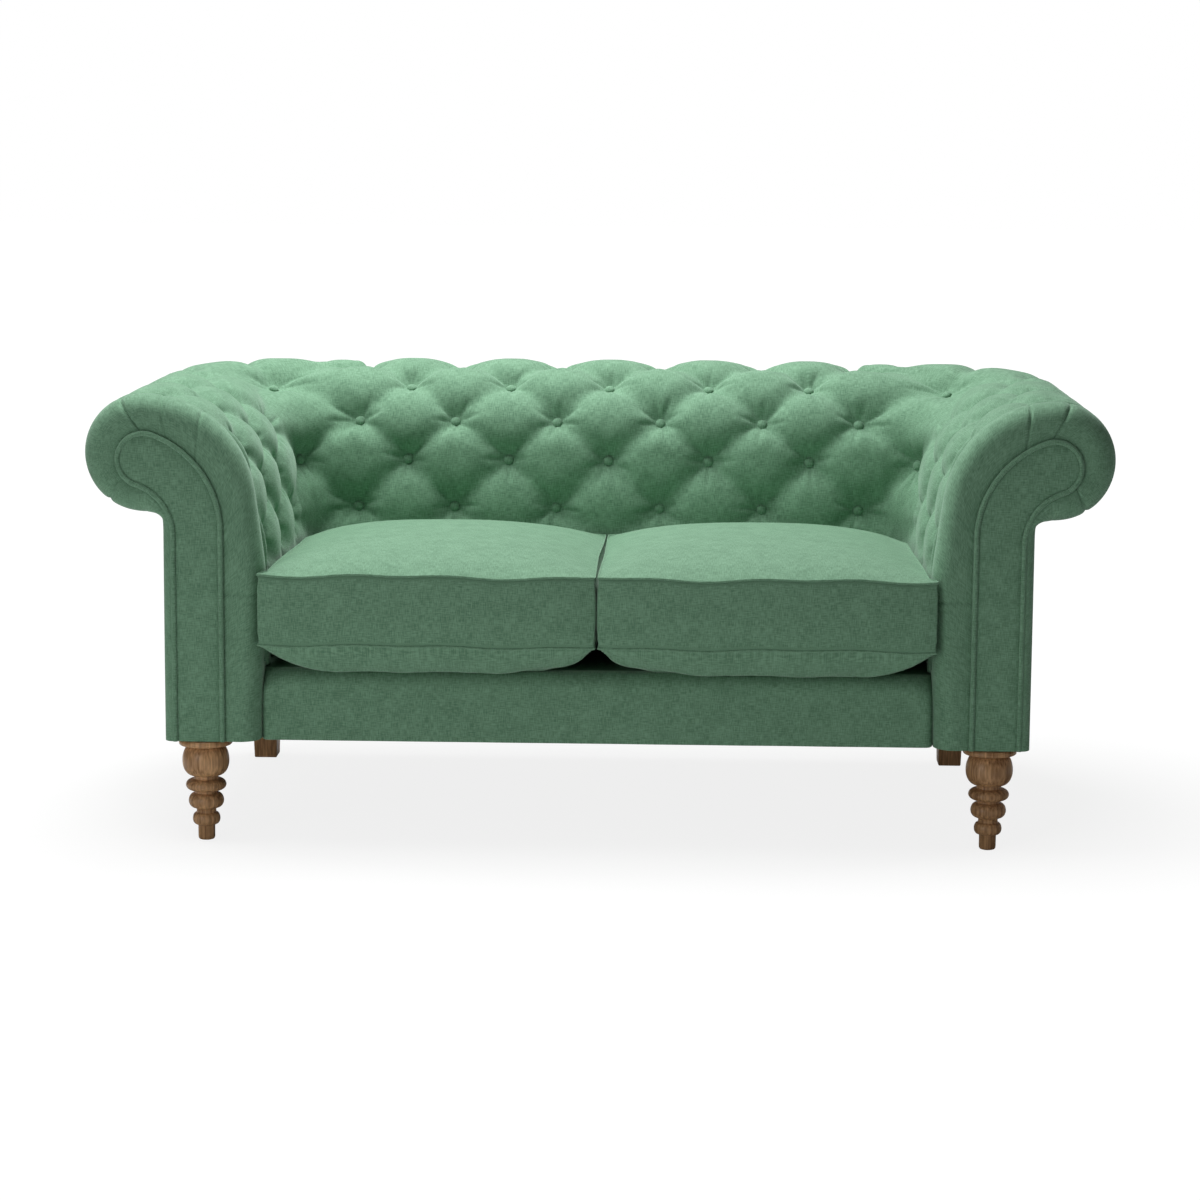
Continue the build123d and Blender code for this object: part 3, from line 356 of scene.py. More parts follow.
def arm_path(spacing):
    ys = np.linspace(BORDER_BACK_Y - 0.004, PIVOT_Y, int((PIVOT_Y - BORDER_BACK_Y) / spacing) + 1)
    origin = [(ARM_X, y) for y in ys]
    along = [(1.0, 0.0) for _ in ys]
    run = [y - PIVOT_Y for y in ys]
    for a in np.linspace(0, MITRE, int(CORNER_RUN / spacing) + 2)[1:]:
        direction = (math.cos(a), math.sin(a))
        origin.append(corner_point(direction))
        along.append(direction)
        run.append(CORNER_RUN * a / MITRE)
    columns = sorted(ARM_EVEN + ARM_ODD, reverse=True)
    known = [-FRONT_RUN] + [-c for c in columns] + [CORNER_RUN]
    s = np.interp(run, known, [-1, 0, 1, 2, 3, 4, 5])
    return np.array(origin), np.array(along), np.array(run), s


def back_path(spacing):
    origin, along, run = [], [], []
    for a in np.linspace(MITRE, 2 * MITRE, int(CORNER_RUN / spacing) + 2)[:-1]:
        direction = (math.cos(a), math.sin(a))
        origin.append(corner_point(direction))
        along.append(direction)
        run.append(-PIVOT_X - CORNER_RUN * (2 * MITRE - a) / MITRE)
    for x in np.linspace(PIVOT_X, 0, int(PIVOT_X / spacing) + 1):
        origin.append((x, BACK_Y))
        along.append((0.0, 1.0))
        run.append(-x)
    origin, along, run = np.array(origin), np.array(along), np.array(run)
    columns = sorted(BACK_EVEN + BACK_ODD, reverse=True)
    known = [-PIVOT_X - CORNER_RUN] + [-c for c in columns]
    s = np.interp(run, known, [5, 6, 7, 8, 9, 10, 11])
    origin = np.concatenate([origin, mirrored(origin[-2::-1])])
    along = np.concatenate([along, mirrored(along[-2::-1])])
    run = np.concatenate([run, -run[-2::-1]])
    s = np.concatenate([s, 22 - s[-2::-1]])
    return origin, along, run, s


FOLD = 0.019
MID_FOLD = 0.012
PIT = 0.009
WIDE_PIT = 0.006
PIT_R = 0.020
WIDE_PIT_R = 0.046
PLEAT = 0.017
LOWER_PLEAT = 0.6 * PLEAT
MITRE_DIP = 0.010
MITRE_WIDTH = 0.075
CREASE = 0.0064
CREASE_R = 0.027
CREASE_WIDTH = 0.016
ROUNDED = 0.03
MID_ROUNDED = 0.09
DIAMOND_POWER = 1.9
PLEAT_POWER = 2.4
COLUMN_PITCH = 0.095
BUTTON_PITCH = 0.080

# Lattice rows over which straight pleats take the place of the diamonds, above and below the buttons.
UPPER_PLEATS = (0.25, -0.55)
LOWER_PLEATS = (4.0, 4.8)


def plump(wave, power, rounded=ROUNDED):
    low = np.sqrt(rounded)
    e = (np.sqrt(wave**2 + rounded) - low) / (np.sqrt(1 + rounded) - low)
    return 1 - np.maximum(1 - e, 0) ** power


def pleat_place(s):
    """Lattice place for the straight pleats, which stand four times as close round both corners."""
    half = np.where(s > 11, 22 - s, s)
    return half + 3 * np.clip(half - 4, 0, 2)


def tuft_offset(s, t):
    """Height of the cloth against the crest line, in metres, for lattice places s along and t down."""
    a, b = (s + t) / 2, (s - t) / 2
    close = (np.cos(math.pi * a) * np.cos(math.pi * b)) ** 2
    soft = ROUNDED + MID_ROUNDED * (1 - close)
    diamond = plump(np.sin(math.pi * a), DIAMOND_POWER, soft)
    diamond = diamond * plump(np.sin(math.pi * b), DIAMOND_POWER, soft)
    fold = MID_FOLD + (FOLD - MID_FOLD) * close
    pleat = plump(np.sin(math.pi * pleat_place(s) / 2), PLEAT_POWER)
    over = smooth_step(*UPPER_PLEATS, t)
    under = smooth_step(*LOWER_PLEATS, t)
    height = -fold * (1 - diamond) * (1 - np.maximum(over, under)) - PLEAT * (1 - pleat) * over
    height -= LOWER_PLEAT * (1 - plump(np.sin(math.pi * s / 2), PLEAT_POWER)) * under
    mitre = np.minimum(np.abs(s - 5), np.abs(s - 17))
    height -= MITRE_DIP * np.exp(-((mitre / MITRE_WIDTH) ** 2)) * smooth_step(1.0, 0.6, t) * (1 - over)
    na, nb = np.round(a), np.round(b)
    column, row = na + nb, na - nb
    near = np.where((row >= -0.1) & (row <= 4.1), 1.0, 0.0)
    ds, dt = (s - column) * COLUMN_PITCH, (t - row) * BUTTON_PITCH
    r, angle = np.hypot(ds, dt), np.arctan2(dt, ds)
    hand = np.where(column > 11, -1.0, 1.0)
    turn = hand * np.sin((11 - np.abs(11 - column)) * 12.9898 + row * 78.233) * 6.0
    pits = PIT * np.exp(-((r / PIT_R) ** 2)) + WIDE_PIT * np.exp(-((r / WIDE_PIT_R) ** 2))
    height -= near * pits
    crinkle = np.abs(np.cos(4 * angle + turn)) ** 0.6 - 0.6
    crinkle = crinkle * np.exp(-(((r - CREASE_R) / CREASE_WIDTH) ** 2))
    return height + near * CREASE * crinkle * (0.75 + 0.25 * np.sin(3 * angle + 1.7 * turn))


PAD_RIPPLE = 0.0009
PAD_HEM = 0.02
TUCK_DEPTH = 0.012
TUCK_RUN = 0.022
FLATTER_RUN = (-0.02, 0.07)


def pad_points(path, seed, border=False):
    """Grid of a pad along its path, flatter and tucked in where it meets an arm's front border."""
    origin, along, run, s = path
    S, T = np.meshgrid(s, t_of_v, indexing="ij")
    height = tuft_offset(S, T)
    calm = np.clip(np.minimum(np.abs(S - 5), np.abs(S - 17)), 0, 1)
    height += PAD_RIPPLE * calm * soft_noise(run[:, None] + 0 * T, run_v[None, :] + 0 * S, seed)
    if border:
        gap = (run - run[0])[:, None]
        tuck = TUCK_DEPTH * (1 - smooth_step(0.0, TUCK_RUN, gap))
        height = height * smooth_step(*FLATTER_RUN, gap) - tuck
    height = height * smooth_step(0, PAD_HEM, run_v[-1] - run_v)[None, :]
    q = crest[None, :, 0] + outward[None, :, 0] * height
    z = crest[None, :, 1] + outward[None, :, 1] * height
    x = origin[:, None, 0] + along[:, None, 0] * q
    y = origin[:, None, 1] + along[:, None, 1] * q
    return np.stack([x, y, z], axis=2), flat_map(run, run_v)


back_points, back_uv = pad_points(back_path(SPACING), 3)
back_pad = grid_object("back_pad_cloth", back_points, back_uv, False)
finish_piece(back_pad, SOFA, ["back_pad"])
arm_points, arm_uv = pad_points(arm_path(SPACING), 5, True)
right_pad = grid_object("right_arm_pad_cloth", arm_points, arm_uv, False)
finish_piece(right_pad, SOFA, ["right_arm_pad"])
left_pad = grid_object("left_arm_pad_cloth", mirrored(arm_points), arm_uv, True)
finish_piece(left_pad, SOFA, ["left_arm_pad"])

# Covered buttons: flattened domes over metal shells, covered with the same linen. A twine through the
# stuffing pulls each one to the bottom of its pit.

BUTTON_R = 0.0098
BUTTON_RISE = 0.62
BUTTON_RING = 20
BUTTON_TIERS = 7
BUTTON_DEPTH = FOLD + PIT + WIDE_PIT - 0.002
ODD_ROWS = {1: row_run[3], 3: row_run[1]}
EVEN_ROWS = {0: row_run[4], 2: row_run[2], 4: row_run[0]}


def button_column(origin, along, rows):
    """Places and facings of the buttons of one column."""
    column = []
    for run in rows.values():
        q, z = (np.interp(run, run_v, crest[:, k]) for k in range(2))
        nq, nz = (np.interp(run, run_v, outward[:, k]) for k in range(2))
        q, z = q - nq * BUTTON_DEPTH, z - nz * BUTTON_DEPTH
        centre = Vector((origin[0] + along[0] * q, origin[1] + along[1] * q, z))
        column.append((centre, Vector((along[0] * nq, along[1] * nq, nz)).normalized()))
    return column


def flipped(spots):
    return [(Vector((-c.x, c.y, c.z)), Vector((-n.x, n.y, n.z))) for c, n in spots]


def merged(obj, distance=None):
    """The piece with its doubles joined, where a distance is given, and its faces turned outwards."""
    work = bmesh.new()
    work.from_mesh(obj.data)
    if distance is not None:
        bmesh.ops.remove_doubles(work, verts=work.verts, dist=distance)
    bmesh.ops.recalc_face_normals(work, faces=work.faces)
    work.to_mesh(obj.data)
    work.free()
    return obj


def button_object(name, spots):
    verts, faces, uv = [], [], []
    for centre, facing in spots:
        turn = facing.to_track_quat("Z", "Y").to_matrix()
        base = len(verts)
        for i in range(BUTTON_TIERS):
            lift = math.pi / 2 * (1 - i / (BUTTON_TIERS - 1)) - 0.35 * (i == BUTTON_TIERS - 1)
            for j in range(BUTTON_RING):
                a = 2 * math.pi * j / BUTTON_RING
                across = math.cos(lift)
                p = Vector((math.cos(a) * across, math.sin(a) * across, BUTTON_RISE * math.sin(lift)))
                verts.append(centre + turn @ (p * BUTTON_R))
                uv.append((p.x * BUTTON_R, p.y * BUTTON_R))
        faces += grid_faces(BUTTON_TIERS, BUTTON_RING, True, base, True)
    return merged(add_object(name, verts, faces, uv, green), 1e-5)


arm_spots = []
for columns, rows in ((ARM_ODD, ODD_ROWS), (ARM_EVEN, EVEN_ROWS)):
    for reach in columns:
        arm_spots += button_column((ARM_X, PIVOT_Y - reach), (1, 0), rows)
half_spots = []
for columns, rows in ((BACK_ODD[:-1], ODD_ROWS), (BACK_EVEN, EVEN_ROWS)):
    for x in columns:
        half_spots += button_column((x, BACK_Y), (0, 1), rows)
mitre_way = (math.cos(MITRE), math.sin(MITRE))
half_spots += button_column(corner_point(mitre_way), mitre_way, ODD_ROWS)
middle_spots = button_column((0.0, BACK_Y), (0, 1), ODD_ROWS)
for name, spots in (
    ("right_arm_buttons", arm_spots),
    ("left_arm_buttons", flipped(arm_spots)),
    ("back_buttons", middle_spots + half_spots + flipped(half_spots)),
):
    covered = button_object(name + "_cloth", spots)
    finish_piece(covered, SOFA, [name])

# Arm fronts: a padded border rolled round the scroll, a flat padded facing inside it and a piping cord
# sewn into the seam between the two. All are linen, nailed to the front post and pleated at the scroll.

FRAME_Z = 0.180
DECK_Z = 0.3005
FACE_IN, FACE_OUT, FACE_HEAD_R, FACE_NECK_R = 0.0715, 0.1525, 0.045, 0.090
FACE_HEAD = np.array((0.200, HEIGHT - 0.110))
FACE_SHOULDER_Z = HEIGHT - 0.230
head_in, head_up = FACE_HEAD[0] - FACE_IN, FACE_HEAD[1] - FACE_SHOULDER_Z
FACE_SHOULDER_R = (head_in**2 + head_up**2 - FACE_HEAD_R**2) / (2 * (head_in - FACE_HEAD_R))
FACE_SHOULDER = np.array((FACE_IN + FACE_SHOULDER_R, FACE_SHOULDER_Z))
neck_q = FACE_OUT + FACE_NECK_R
neck_drop = math.sqrt((FACE_NECK_R + FACE_HEAD_R) ** 2 - (neck_q - FACE_HEAD[0]) ** 2)
FACE_NECK = np.array((neck_q, FACE_HEAD[1] - neck_drop))


def bearing(centre, point):
    return math.atan2(point[1] - centre[1], point[0] - centre[0])


def arc(centre, radius, start, end, count):
    a = np.linspace(start, end, count)
    return np.stack([centre[0] + radius * np.cos(a), centre[1] + radius * np.sin(a)], axis=1)


def straight(first, second, count):
    return np.linspace(first, second, count)


def chain(parts):
    return np.concatenate([parts[0]] + [part[1:] for part in parts[1:]])


neck_turn = bearing(FACE_NECK, FACE_HEAD)
shoulder_turn = bearing(FACE_SHOULDER, FACE_HEAD)
seam_line = chain(
    [
        straight((FACE_OUT, FRAME_Z), (FACE_OUT, FACE_NECK[1]), 60),
        arc(FACE_NECK, FACE_NECK_R, math.pi, neck_turn, 31),
        arc(FACE_HEAD, FACE_HEAD_R, neck_turn - math.pi, shoulder_turn, 61),
        arc(FACE_SHOULDER, FACE_SHOULDER_R, shoulder_turn, math.pi, 31),
        straight((FACE_IN, FACE_SHOULDER_Z), (FACE_IN, FRAME_Z), 60),
    ]
)
NOTCH_R = 0.012
BEND_TURN = math.pi * 0.94
BEND_Z = 0.48
RIM_FOOT_Q = 0.009
notch = (PANEL_Q + NOTCH_R, ROLL_LOW_Z - NOTCH_R)
bend = (REACH + SHOULDER_R * math.cos(BEND_TURN), SHOULDER_Z + SHOULDER_R * math.sin(BEND_TURN))
rim_line = chain(
    [
        straight((PANEL_Q, FRAME_Z), (PANEL_Q, notch[1]), 60),
        arc(notch, NOTCH_R, math.pi, math.pi / 2, 9),
        straight((notch[0], ROLL_LOW_Z), (REACH, ROLL_LOW_Z), 23),
        arc((REACH, ROLL_Z), ROLL_R, -math.pi / 2, math.pi / 2, 61),
        arc((REACH, SHOULDER_Z), SHOULDER_R, math.pi / 2, BEND_TURN, 31),
        straight(bend, (0.0, BEND_Z), 20),
        straight((0.0, BEND_Z), (RIM_FOOT_Q, FRAME_Z), 41),
    ]
)
if len(rim_line) != len(seam_line):
    raise ValueError("outline counts differ: %d and %d" % (len(rim_line), len(seam_line)))
for _ in range(6):
    rim_line[1:-1] = (rim_line[:-2] + 2 * rim_line[1:-1] + rim_line[2:]) / 4

FINER = 3


def finer(line):
    at = np.linspace(0, len(line) - 1, (len(line) - 1) * FINER + 1)
    return np.stack([np.interp(at, np.arange(len(line)), line[:, k]) for k in range(2)], axis=1)


seam_line, rim_line = finer(seam_line), finer(rim_line)
seam_run = lengths(seam_line)
share = seam_run / seam_run[-1]

# Each pleat is a place along the seam as a share of its length, a depth and a half-width in shares.
RIGHT_PLEATS = ((0.547, 0.0045, 0.0013), (0.507, 0.0045, 0.0013), (0.4165, 0.0044, 0.0014))
LEFT_PLEATS = (
    (0.500, 0.0062, 0.0013),
    (0.538, 0.0062, 0.0013),
    (0.588, 0.0045, 0.0013),
    (0.4195, 0.0044, 0.0014),
)
INNER_SEAM_Z = 0.435
INNER_SEAM_DEPTH = 0.003
INNER_SEAM_WIDTH = 0.002
FRONT_Y = FACING_Y + 0.003
POST_Y = FACING_Y + 0.006
SWELL = 0.004
SEAM_SET = 0.002
EDGE_R = 0.034
FLAT_COUNT = 10
TURNED_COUNT = 14
PANEL_LAP = 0.004
PAD_LAP = 0.010
PANEL_PULL = np.array([0, 0, 0, 0.0006, 0.003])
PAD_PULL = np.array([0, 0.0005, 0.003, 0.011, 0.030])


def border_row(i, pleats):
    """Points of the border across one place of the seam, out to the rim and back over the edge."""
    across = rim_line[i] - seam_line[i]
    width = np.linalg.norm(across)
    side = across / width
    radius = min(EDGE_R, 0.8 * width)
    out = np.linspace(0, width - radius, FLAT_COUNT)
    rise = np.sin(math.pi / 2 * out / (width - radius)) ** 0.8
    y = FRONT_Y + SEAM_SET - (SEAM_SET + SWELL) * rise
    a = np.linspace(0, math.pi / 2, TURNED_COUNT)[1:]
    out = np.concatenate([out, width - radius + radius * np.sin(a)])
    y = np.concatenate([y, FRONT_Y - SWELL + (radius + SWELL) * (1 - np.cos(a))])
    dent = sum(depth * math.exp(-abs(share[i] - place) / half) for place, depth, half in pleats)
    part = out / width
    fade = np.clip(0.25 + 2.5 * part, 0, 1) * np.clip(1.9 - 1.2 * part, 0, 1)
    level = seam_line[i][1] + side[1] * out
    seam = INNER_SEAM_DEPTH * np.exp(-np.abs(level - INNER_SEAM_Z) / INNER_SEAM_WIDTH)
    sunk = dent * fade + seam * (seam_line[i][0] < FACE_IN + 0.01)
    y = y + sunk
    y[:FLAT_COUNT] = np.minimum(y[:FLAT_COUNT], POST_Y - 0.0006)
    place = seam_line[i][None, :] + side[None, :] * (out - sunk * part)[:, None]
    on_panel = rim_line[i][0] > 0.15 and rim_line[i][1] < ROLL_LOW_Z - 0.004
    pull = PANEL_PULL if on_panel else PAD_PULL * (rim_line[i][1] > DECK_Z + 0.01)
    tail_y = np.linspace(y[-1], BORDER_BACK_Y + (PANEL_LAP if on_panel else PAD_LAP), 6)[1:]
    tail = np.repeat(place[-1:], len(pull), axis=0) - side[None, :] * pull[:, None]
    return np.column_stack([np.concatenate([place, tail]), np.concatenate([y, tail_y])])


def border_points(pleats):
    rows = np.array([border_row(i, pleats) for i in range(len(seam_line))])
    return np.stack([ARM_X + rows[..., 0], rows[..., 2], rows[..., 1]], axis=2)


PIPE_R = 0.0045
PIPE_Y = FRONT_Y - 0.003
PIPE_SIDES = 12


def piping_points():
    tangent = np.gradient(seam_line, axis=0)
    tangent /= np.linalg.norm(tangent, axis=1)[:, None]
    side = np.stack([tangent[:, 1], -tangent[:, 0]], axis=1)
    a = np.linspace(0, 2 * math.pi, PIPE_SIDES, endpoint=False)
    q = seam_line[:, None, 0] + side[:, None, 0] * np.cos(a) * PIPE_R
    z = seam_line[:, None, 1] + side[:, None, 1] * np.cos(a) * PIPE_R
    depth = PIPE_Y + PIPE_R * np.sin(a)[None, :] + 0 * q
    return np.stack([ARM_X + q, depth, z], axis=2)


FACING_PROUD = 0.0042
FACING_COUNT = 19


def facing_points():
    """The facing as a grid between the two halves of its seam, with the places on its flat cloth."""
    half = len(seam_line) // 2
    outer, inner = seam_line[: half + 1], seam_line[::-1][: half + 1]
    w = np.linspace(0, 1, FACING_COUNT)
    gap = np.linalg.norm(outer - inner, axis=1)[:, None]
    flat = outer[:, None, :] * (1 - w)[None, :, None] + inner[:, None, :] * w[None, :, None]
    proud = FACING_PROUD * (1 - np.abs(2 * w - 1) ** 6)[None, :] * np.minimum(1, gap / 0.05)
    return np.stack([ARM_X + flat[..., 0], FRONT_Y - proud, flat[..., 1]], axis=2), flat


BORDER_CLOTH = 0.11
PIPE_CLOTH = 0.028
cord_uv = flat_map(seam_run, np.linspace(0, PIPE_CLOTH, PIPE_SIDES))
for side_name, pleats in (("right", RIGHT_PLEATS), ("left", LEFT_PLEATS)):
    left = side_name == "left"
    border_grid, cord, (facing_grid, facing_uv) = border_points(pleats), piping_points(), facing_points()
    if left:
        border_grid, cord, facing_grid = mirrored(border_grid), mirrored(cord), mirrored(facing_grid)
    border_uv = flat_map(lengths(rim_line), np.linspace(0, BORDER_CLOTH, border_grid.shape[1]))
    border = grid_object(side_name + "_arm_border_cloth", border_grid, border_uv, not left)
    finish_piece(border, SOFA, [side_name + "_arm_border"])
    piping = grid_object(side_name + "_facing_piping_cloth", cord, cord_uv, not left, close=True)
    finish_piece(piping, SOFA, [side_name + "_facing_piping"])
    facing = grid_object(side_name + "_arm_facing_cloth", facing_grid, facing_uv, left)
    finish_piece(facing, SOFA, [side_name + "_arm_facing"])

# Front border below the cushions: linen over thin padding on the front rail, rounded over the top edge,
# drawn down a little at both ends and turned under the rail.

BASE_Z = 0.178
APRON_Y = FACING_Y + 0.030
APRON_HALF = ARM_X + 0.0085
APRON_BACK = APRON_Y + 0.03
APRON_TOP = FRAME_Z + 0.1205
APRON_R = 0.027
APRON_END_R = 0.014
APRON_BELLY = 0.004
APRON_RIPPLE = 0.0012
FRONT_FADE = 0.035
END_DRAW = 0.026
END_RUN = 0.05


def apron_section():
    face = straight((APRON_Y, BASE_Z + 0.001), (APRON_Y, APRON_TOP - APRON_R), 26)
    turn = arc((APRON_Y + APRON_R, APRON_TOP - APRON_R), APRON_R, math.pi, math.pi / 2, 16)
    top = straight((APRON_Y + APRON_R, APRON_TOP), (APRON_BACK + 0.004, APRON_TOP), 8)
    under = straight((APRON_BACK, BASE_Z + 0.001), (APRON_Y + 0.004, BASE_Z - 0.0005), 6)
    return chain([under, straight(under[-1], face[0], 4), face, turn, top])


section = apron_section()
xs = np.linspace(-APRON_HALF, APRON_HALF, 230)
end = APRON_HALF - np.abs(xs)
end_round = APRON_END_R - np.sqrt(np.maximum(APRON_END_R**2 - (APRON_END_R - end) ** 2, 0))
shrink = np.where(end < APRON_END_R, end_round, 0.0)
lower = np.where(end < END_RUN, END_DRAW * (1 - end / END_RUN) ** 2, 0.0)
rise = np.clip((section[:, 1] - BASE_Z) / (APRON_TOP - BASE_Z), 0, 1)
apron_x, apron_z = xs[:, None] + 0 * rise, section[None, :, 1] + 0 * xs[:, None]
sag = APRON_RIPPLE * soft_noise(apron_x * 0.8, apron_z * 0.5, 11)
front_share = np.clip(1 - (section[:, 0] - APRON_Y) / FRONT_FADE, 0, 1)
apron_grid = np.zeros((len(xs), len(section), 3))
apron_grid[..., 0] = xs[:, None]
belly_out = APRON_BELLY * np.sin(math.pi * rise)[None, :]
apron_grid[..., 1] = section[None, :, 0] + shrink[:, None] + sag - belly_out
apron_grid[..., 2] = section[None, :, 1] - lower[:, None] * (rise**3 * front_share)[None, :]
apron = grid_object("front_border_cloth", apron_grid, flat_map(xs, lengths(section)), True)
finish_piece(apron, SOFA, ["front_border"])

# Seat deck and spring cover: a thin lined pad over a flat cloth, stretched on the springs and tacked to the
# rails all round. The deck sinks a little in the middle.

lining = plain_material("deck_lining", (0.105, 0.21, 0.13), 0.9)


SHEET_RIPPLE = 0.0006
ARM_FRONT_RUN = (ARM_X + 0.016, ARM_X + 0.056)


def sheet_object(name, low, high, z, dip, material, up, front=0.0):
    """A stretched flat cloth between two plan corners, sunk a little in the middle and brought forward
    by the given amount in front of the arms."""
    u, v = np.meshgrid(np.linspace(0, 1, 130), np.linspace(0, 1, 50), indexing="ij")
    x = low[0] + (high[0] - low[0]) * u
    near = low[1] - front * smooth_step(*ARM_FRONT_RUN, np.abs(x))
    y = near + (high[1] - near) * v
    sunk = dip * (np.sin(math.pi * u) * np.sin(math.pi * v)) ** 0.6
    height = z - sunk + SHEET_RIPPLE * soft_noise(x, y, 51)
    points = np.stack([x, y, height], axis=2)
    return grid_object(name, points, np.stack([x, y], axis=2), not up, material)


DECK_REACH = 0.0617
CLOTH_SET = 0.0003
deck_low = (-ARM_X - DECK_REACH, APRON_BACK)
deck_high = (ARM_X + DECK_REACH, BACK_Y + DECK_REACH)
deck = sheet_object("seat_deck_cloth", deck_low, deck_high, DECK_Z - CLOTH_SET, 0.0012, lining, True)
finish_piece(deck, SOFA, ["seat_deck"])
low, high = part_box("spring_cover")
cover_sheet = sheet_object("spring_cover_sheet", low[:2], high[:2], high[2] - CLOTH_SET, 0.001, lining, True)
finish_piece(cover_sheet, SOFA, ["spring_cover"])

# Outer panels: plain linen stretched over the outside of the arms and back, tacked under the roll and
# below the rails. The back panel runs on round both rear corners.

PANEL_TOP = ROLL_LOW_Z - 0.0003
PANEL_TUCK = 0.034
PANEL_RIPPLE = 0.0011
PANEL_PULL_IN = 0.0012
FOOT_TURN = 0.004
TUCK_TURN = 0.016
ROUND = 0.06
ROUND_X, ROUND_Y = ARM_X + PANEL_Q - ROUND, BACK_Y + PANEL_Q - ROUND


def panel_object(name, line, seed):
    """Stretched cloth hanging from a plan line, tucked up inside the roll and turned in at the foot."""
    tangent = np.gradient(line, axis=0)
    tangent /= np.linalg.norm(tangent, axis=1)[:, None]
    side = np.stack([tangent[:, 1], -tangent[:, 0]], axis=1)
    run = lengths(line)
    z = np.concatenate([[FRAME_Z + 0.0005], np.linspace(FRAME_Z, PANEL_TOP, 60), [PANEL_TOP + PANEL_TUCK]])
    inward = np.zeros(len(z))
    inward[0] = FOOT_TURN
    inward[-1] = TUCK_TURN
    along, up = run[:, None] + 0 * z, z[None, :] + 0 * run[:, None]
    slack = PANEL_RIPPLE * soft_noise(along * 0.35, up * 0.35, seed)
    hold = np.sin(math.pi * np.clip((z - FRAME_Z) / (PANEL_TOP - FRAME_Z), 0, 1))[None, :]
    depth = (slack - PANEL_PULL_IN) * hold - inward[None, :]
    x = line[:, None, 0] + side[:, None, 0] * depth
    y = line[:, None, 1] + side[:, None, 1] * depth
    return grid_object(name, np.stack([x, y, z[None, :] + 0 * depth], axis=2), flat_map(run, z), True)


side_y = np.linspace(BORDER_BACK_Y + 0.0003, ROUND_Y, 110)
right_line = np.column_stack([np.full(len(side_y), ARM_X + PANEL_Q), side_y])
corner_line = arc((ROUND_X, ROUND_Y), ROUND, 0, math.pi / 2, 20)
straight_line = straight((ROUND_X, ROUND_Y + ROUND), (-ROUND_X, ROUND_Y + ROUND), 220)
for name, line, seed in (
    ("right_outer_arm_panel", right_line, 41),
    ("left_outer_arm_panel", mirrored(right_line)[::-1], 42),
    ("outer_back_panel", chain([corner_line, straight_line, mirrored(corner_line)[::-1]]), 43),
):
    panel = panel_object(name + "_cloth", line, seed)
    finish_piece(panel, SOFA, [name])

# Bottom cloth: a thin black dust cloth stapled under the rails, a little slack in the middle. It comes
# forward under both arm fronts.

black_cloth = plain_material("bottom_cloth", (0.03, 0.03, 0.03), 0.9)
BOTTOM_EDGE = 0.020
UNDER_ARM_FRONT = 0.042
low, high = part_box("bottom_cloth")
bottom_low = (low[0] + BOTTOM_EDGE, APRON_Y + 0.022)
bottom_high = (high[0] - BOTTOM_EDGE, high[1] - BOTTOM_EDGE)
bottom_z = low[2] + 0.0012
bottom = sheet_object(
    "bottom_cloth_sheet", bottom_low, bottom_high, bottom_z, 0.003, black_cloth, False, UNDER_ARM_FRONT
)
finish_piece(bottom, SOFA, ["bottom_cloth"])

# Legs: turned and oiled wood in front, with a flange, a ball and three rings spun from one outline, and
# plain tapered blocks with softened edges at the back. A bolt holds each one to the frame.

leg_wood = wood_material("leg_oak", (0.215, 0.105, 0.042), (0.68, 0.40, 0.195), 0.34)
LEG_X, LEG_Y = 0.676, FACING_Y + 0.041
LEG_STEPS = 48


def bead(radius, neck_low, low, high, neck_high, count=14):
    """Half-round ring between two heights, from one neck radius to the other."""
    a = np.linspace(0, math.pi, count)
    z = low + (high - low) * (1 - np.cos(a)) / 2
    base = neck_low + (neck_high - neck_low) * (z - low) / (high - low)
    return [(b + (radius - b) * math.sin(t) ** 0.9, h) for b, h, t in zip(base, z, a)]


FOOT = [(0.0001, 0.0), (0.0105, 0.0), (0.0128, 0.0008), (0.0141, 0.0028), (0.0145, 0.006), (0.0146, 0.0245)]
FLANGE = [(0.0300, 0.1675), (0.0440, 0.1682), (0.0458, 0.1698), (0.0460, 0.1720), (0.0460, BASE_Z)]
leg_outline = FOOT + [(0.0162, 0.0262)] + bead(0.0238, 0.0165, 0.0268, 0.0475, 0.0172)
leg_outline += [(0.0168, 0.049), (0.0168, 0.0535), (0.0185, 0.055)]
leg_outline += bead(0.0305, 0.019, 0.0562, 0.0820, 0.0196) + [(0.0192, 0.0832), (0.0192, 0.0852)]
leg_outline += bead(0.0350, 0.020, 0.0868, 0.1072, 0.0215) + [(0.0212, 0.1085), (0.0212, 0.1125)]
leg_outline += bead(0.0405, 0.0215, 0.1135, 0.1672, 0.0255, 26) + FLANGE + [(0.0001, BASE_Z)]


def leg_object(name, work, smooth):
    mesh = bpy.data.meshes.new(name)
    work.to_mesh(mesh)
    work.free()
    if smooth:
        mesh.shade_smooth()
    mesh.materials.append(leg_wood)
    obj = bpy.data.objects.new(name, mesh)
    bpy.context.scene.collection.objects.link(obj)
    return obj


def turned_leg(name, x, y):
    work = bmesh.new()
    verts = [work.verts.new((x + r, y, z)) for r, z in leg_outline]
    edges = [work.edges.new(pair) for pair in zip(verts[:-1], verts[1:])]
    bmesh.ops.spin(
        work,
        geom=verts + edges,
        cent=(x, y, 0),
        axis=(0, 0, 1),
        dvec=(0, 0, 0),
        angle=2 * math.pi,
        steps=LEG_STEPS,
        use_merge=True,
        use_duplicate=False,
    )
    bmesh.ops.remove_doubles(work, verts=work.verts, dist=2e-5)
    bmesh.ops.recalc_face_normals(work, faces=work.faces)
    return leg_object(name, work, True)


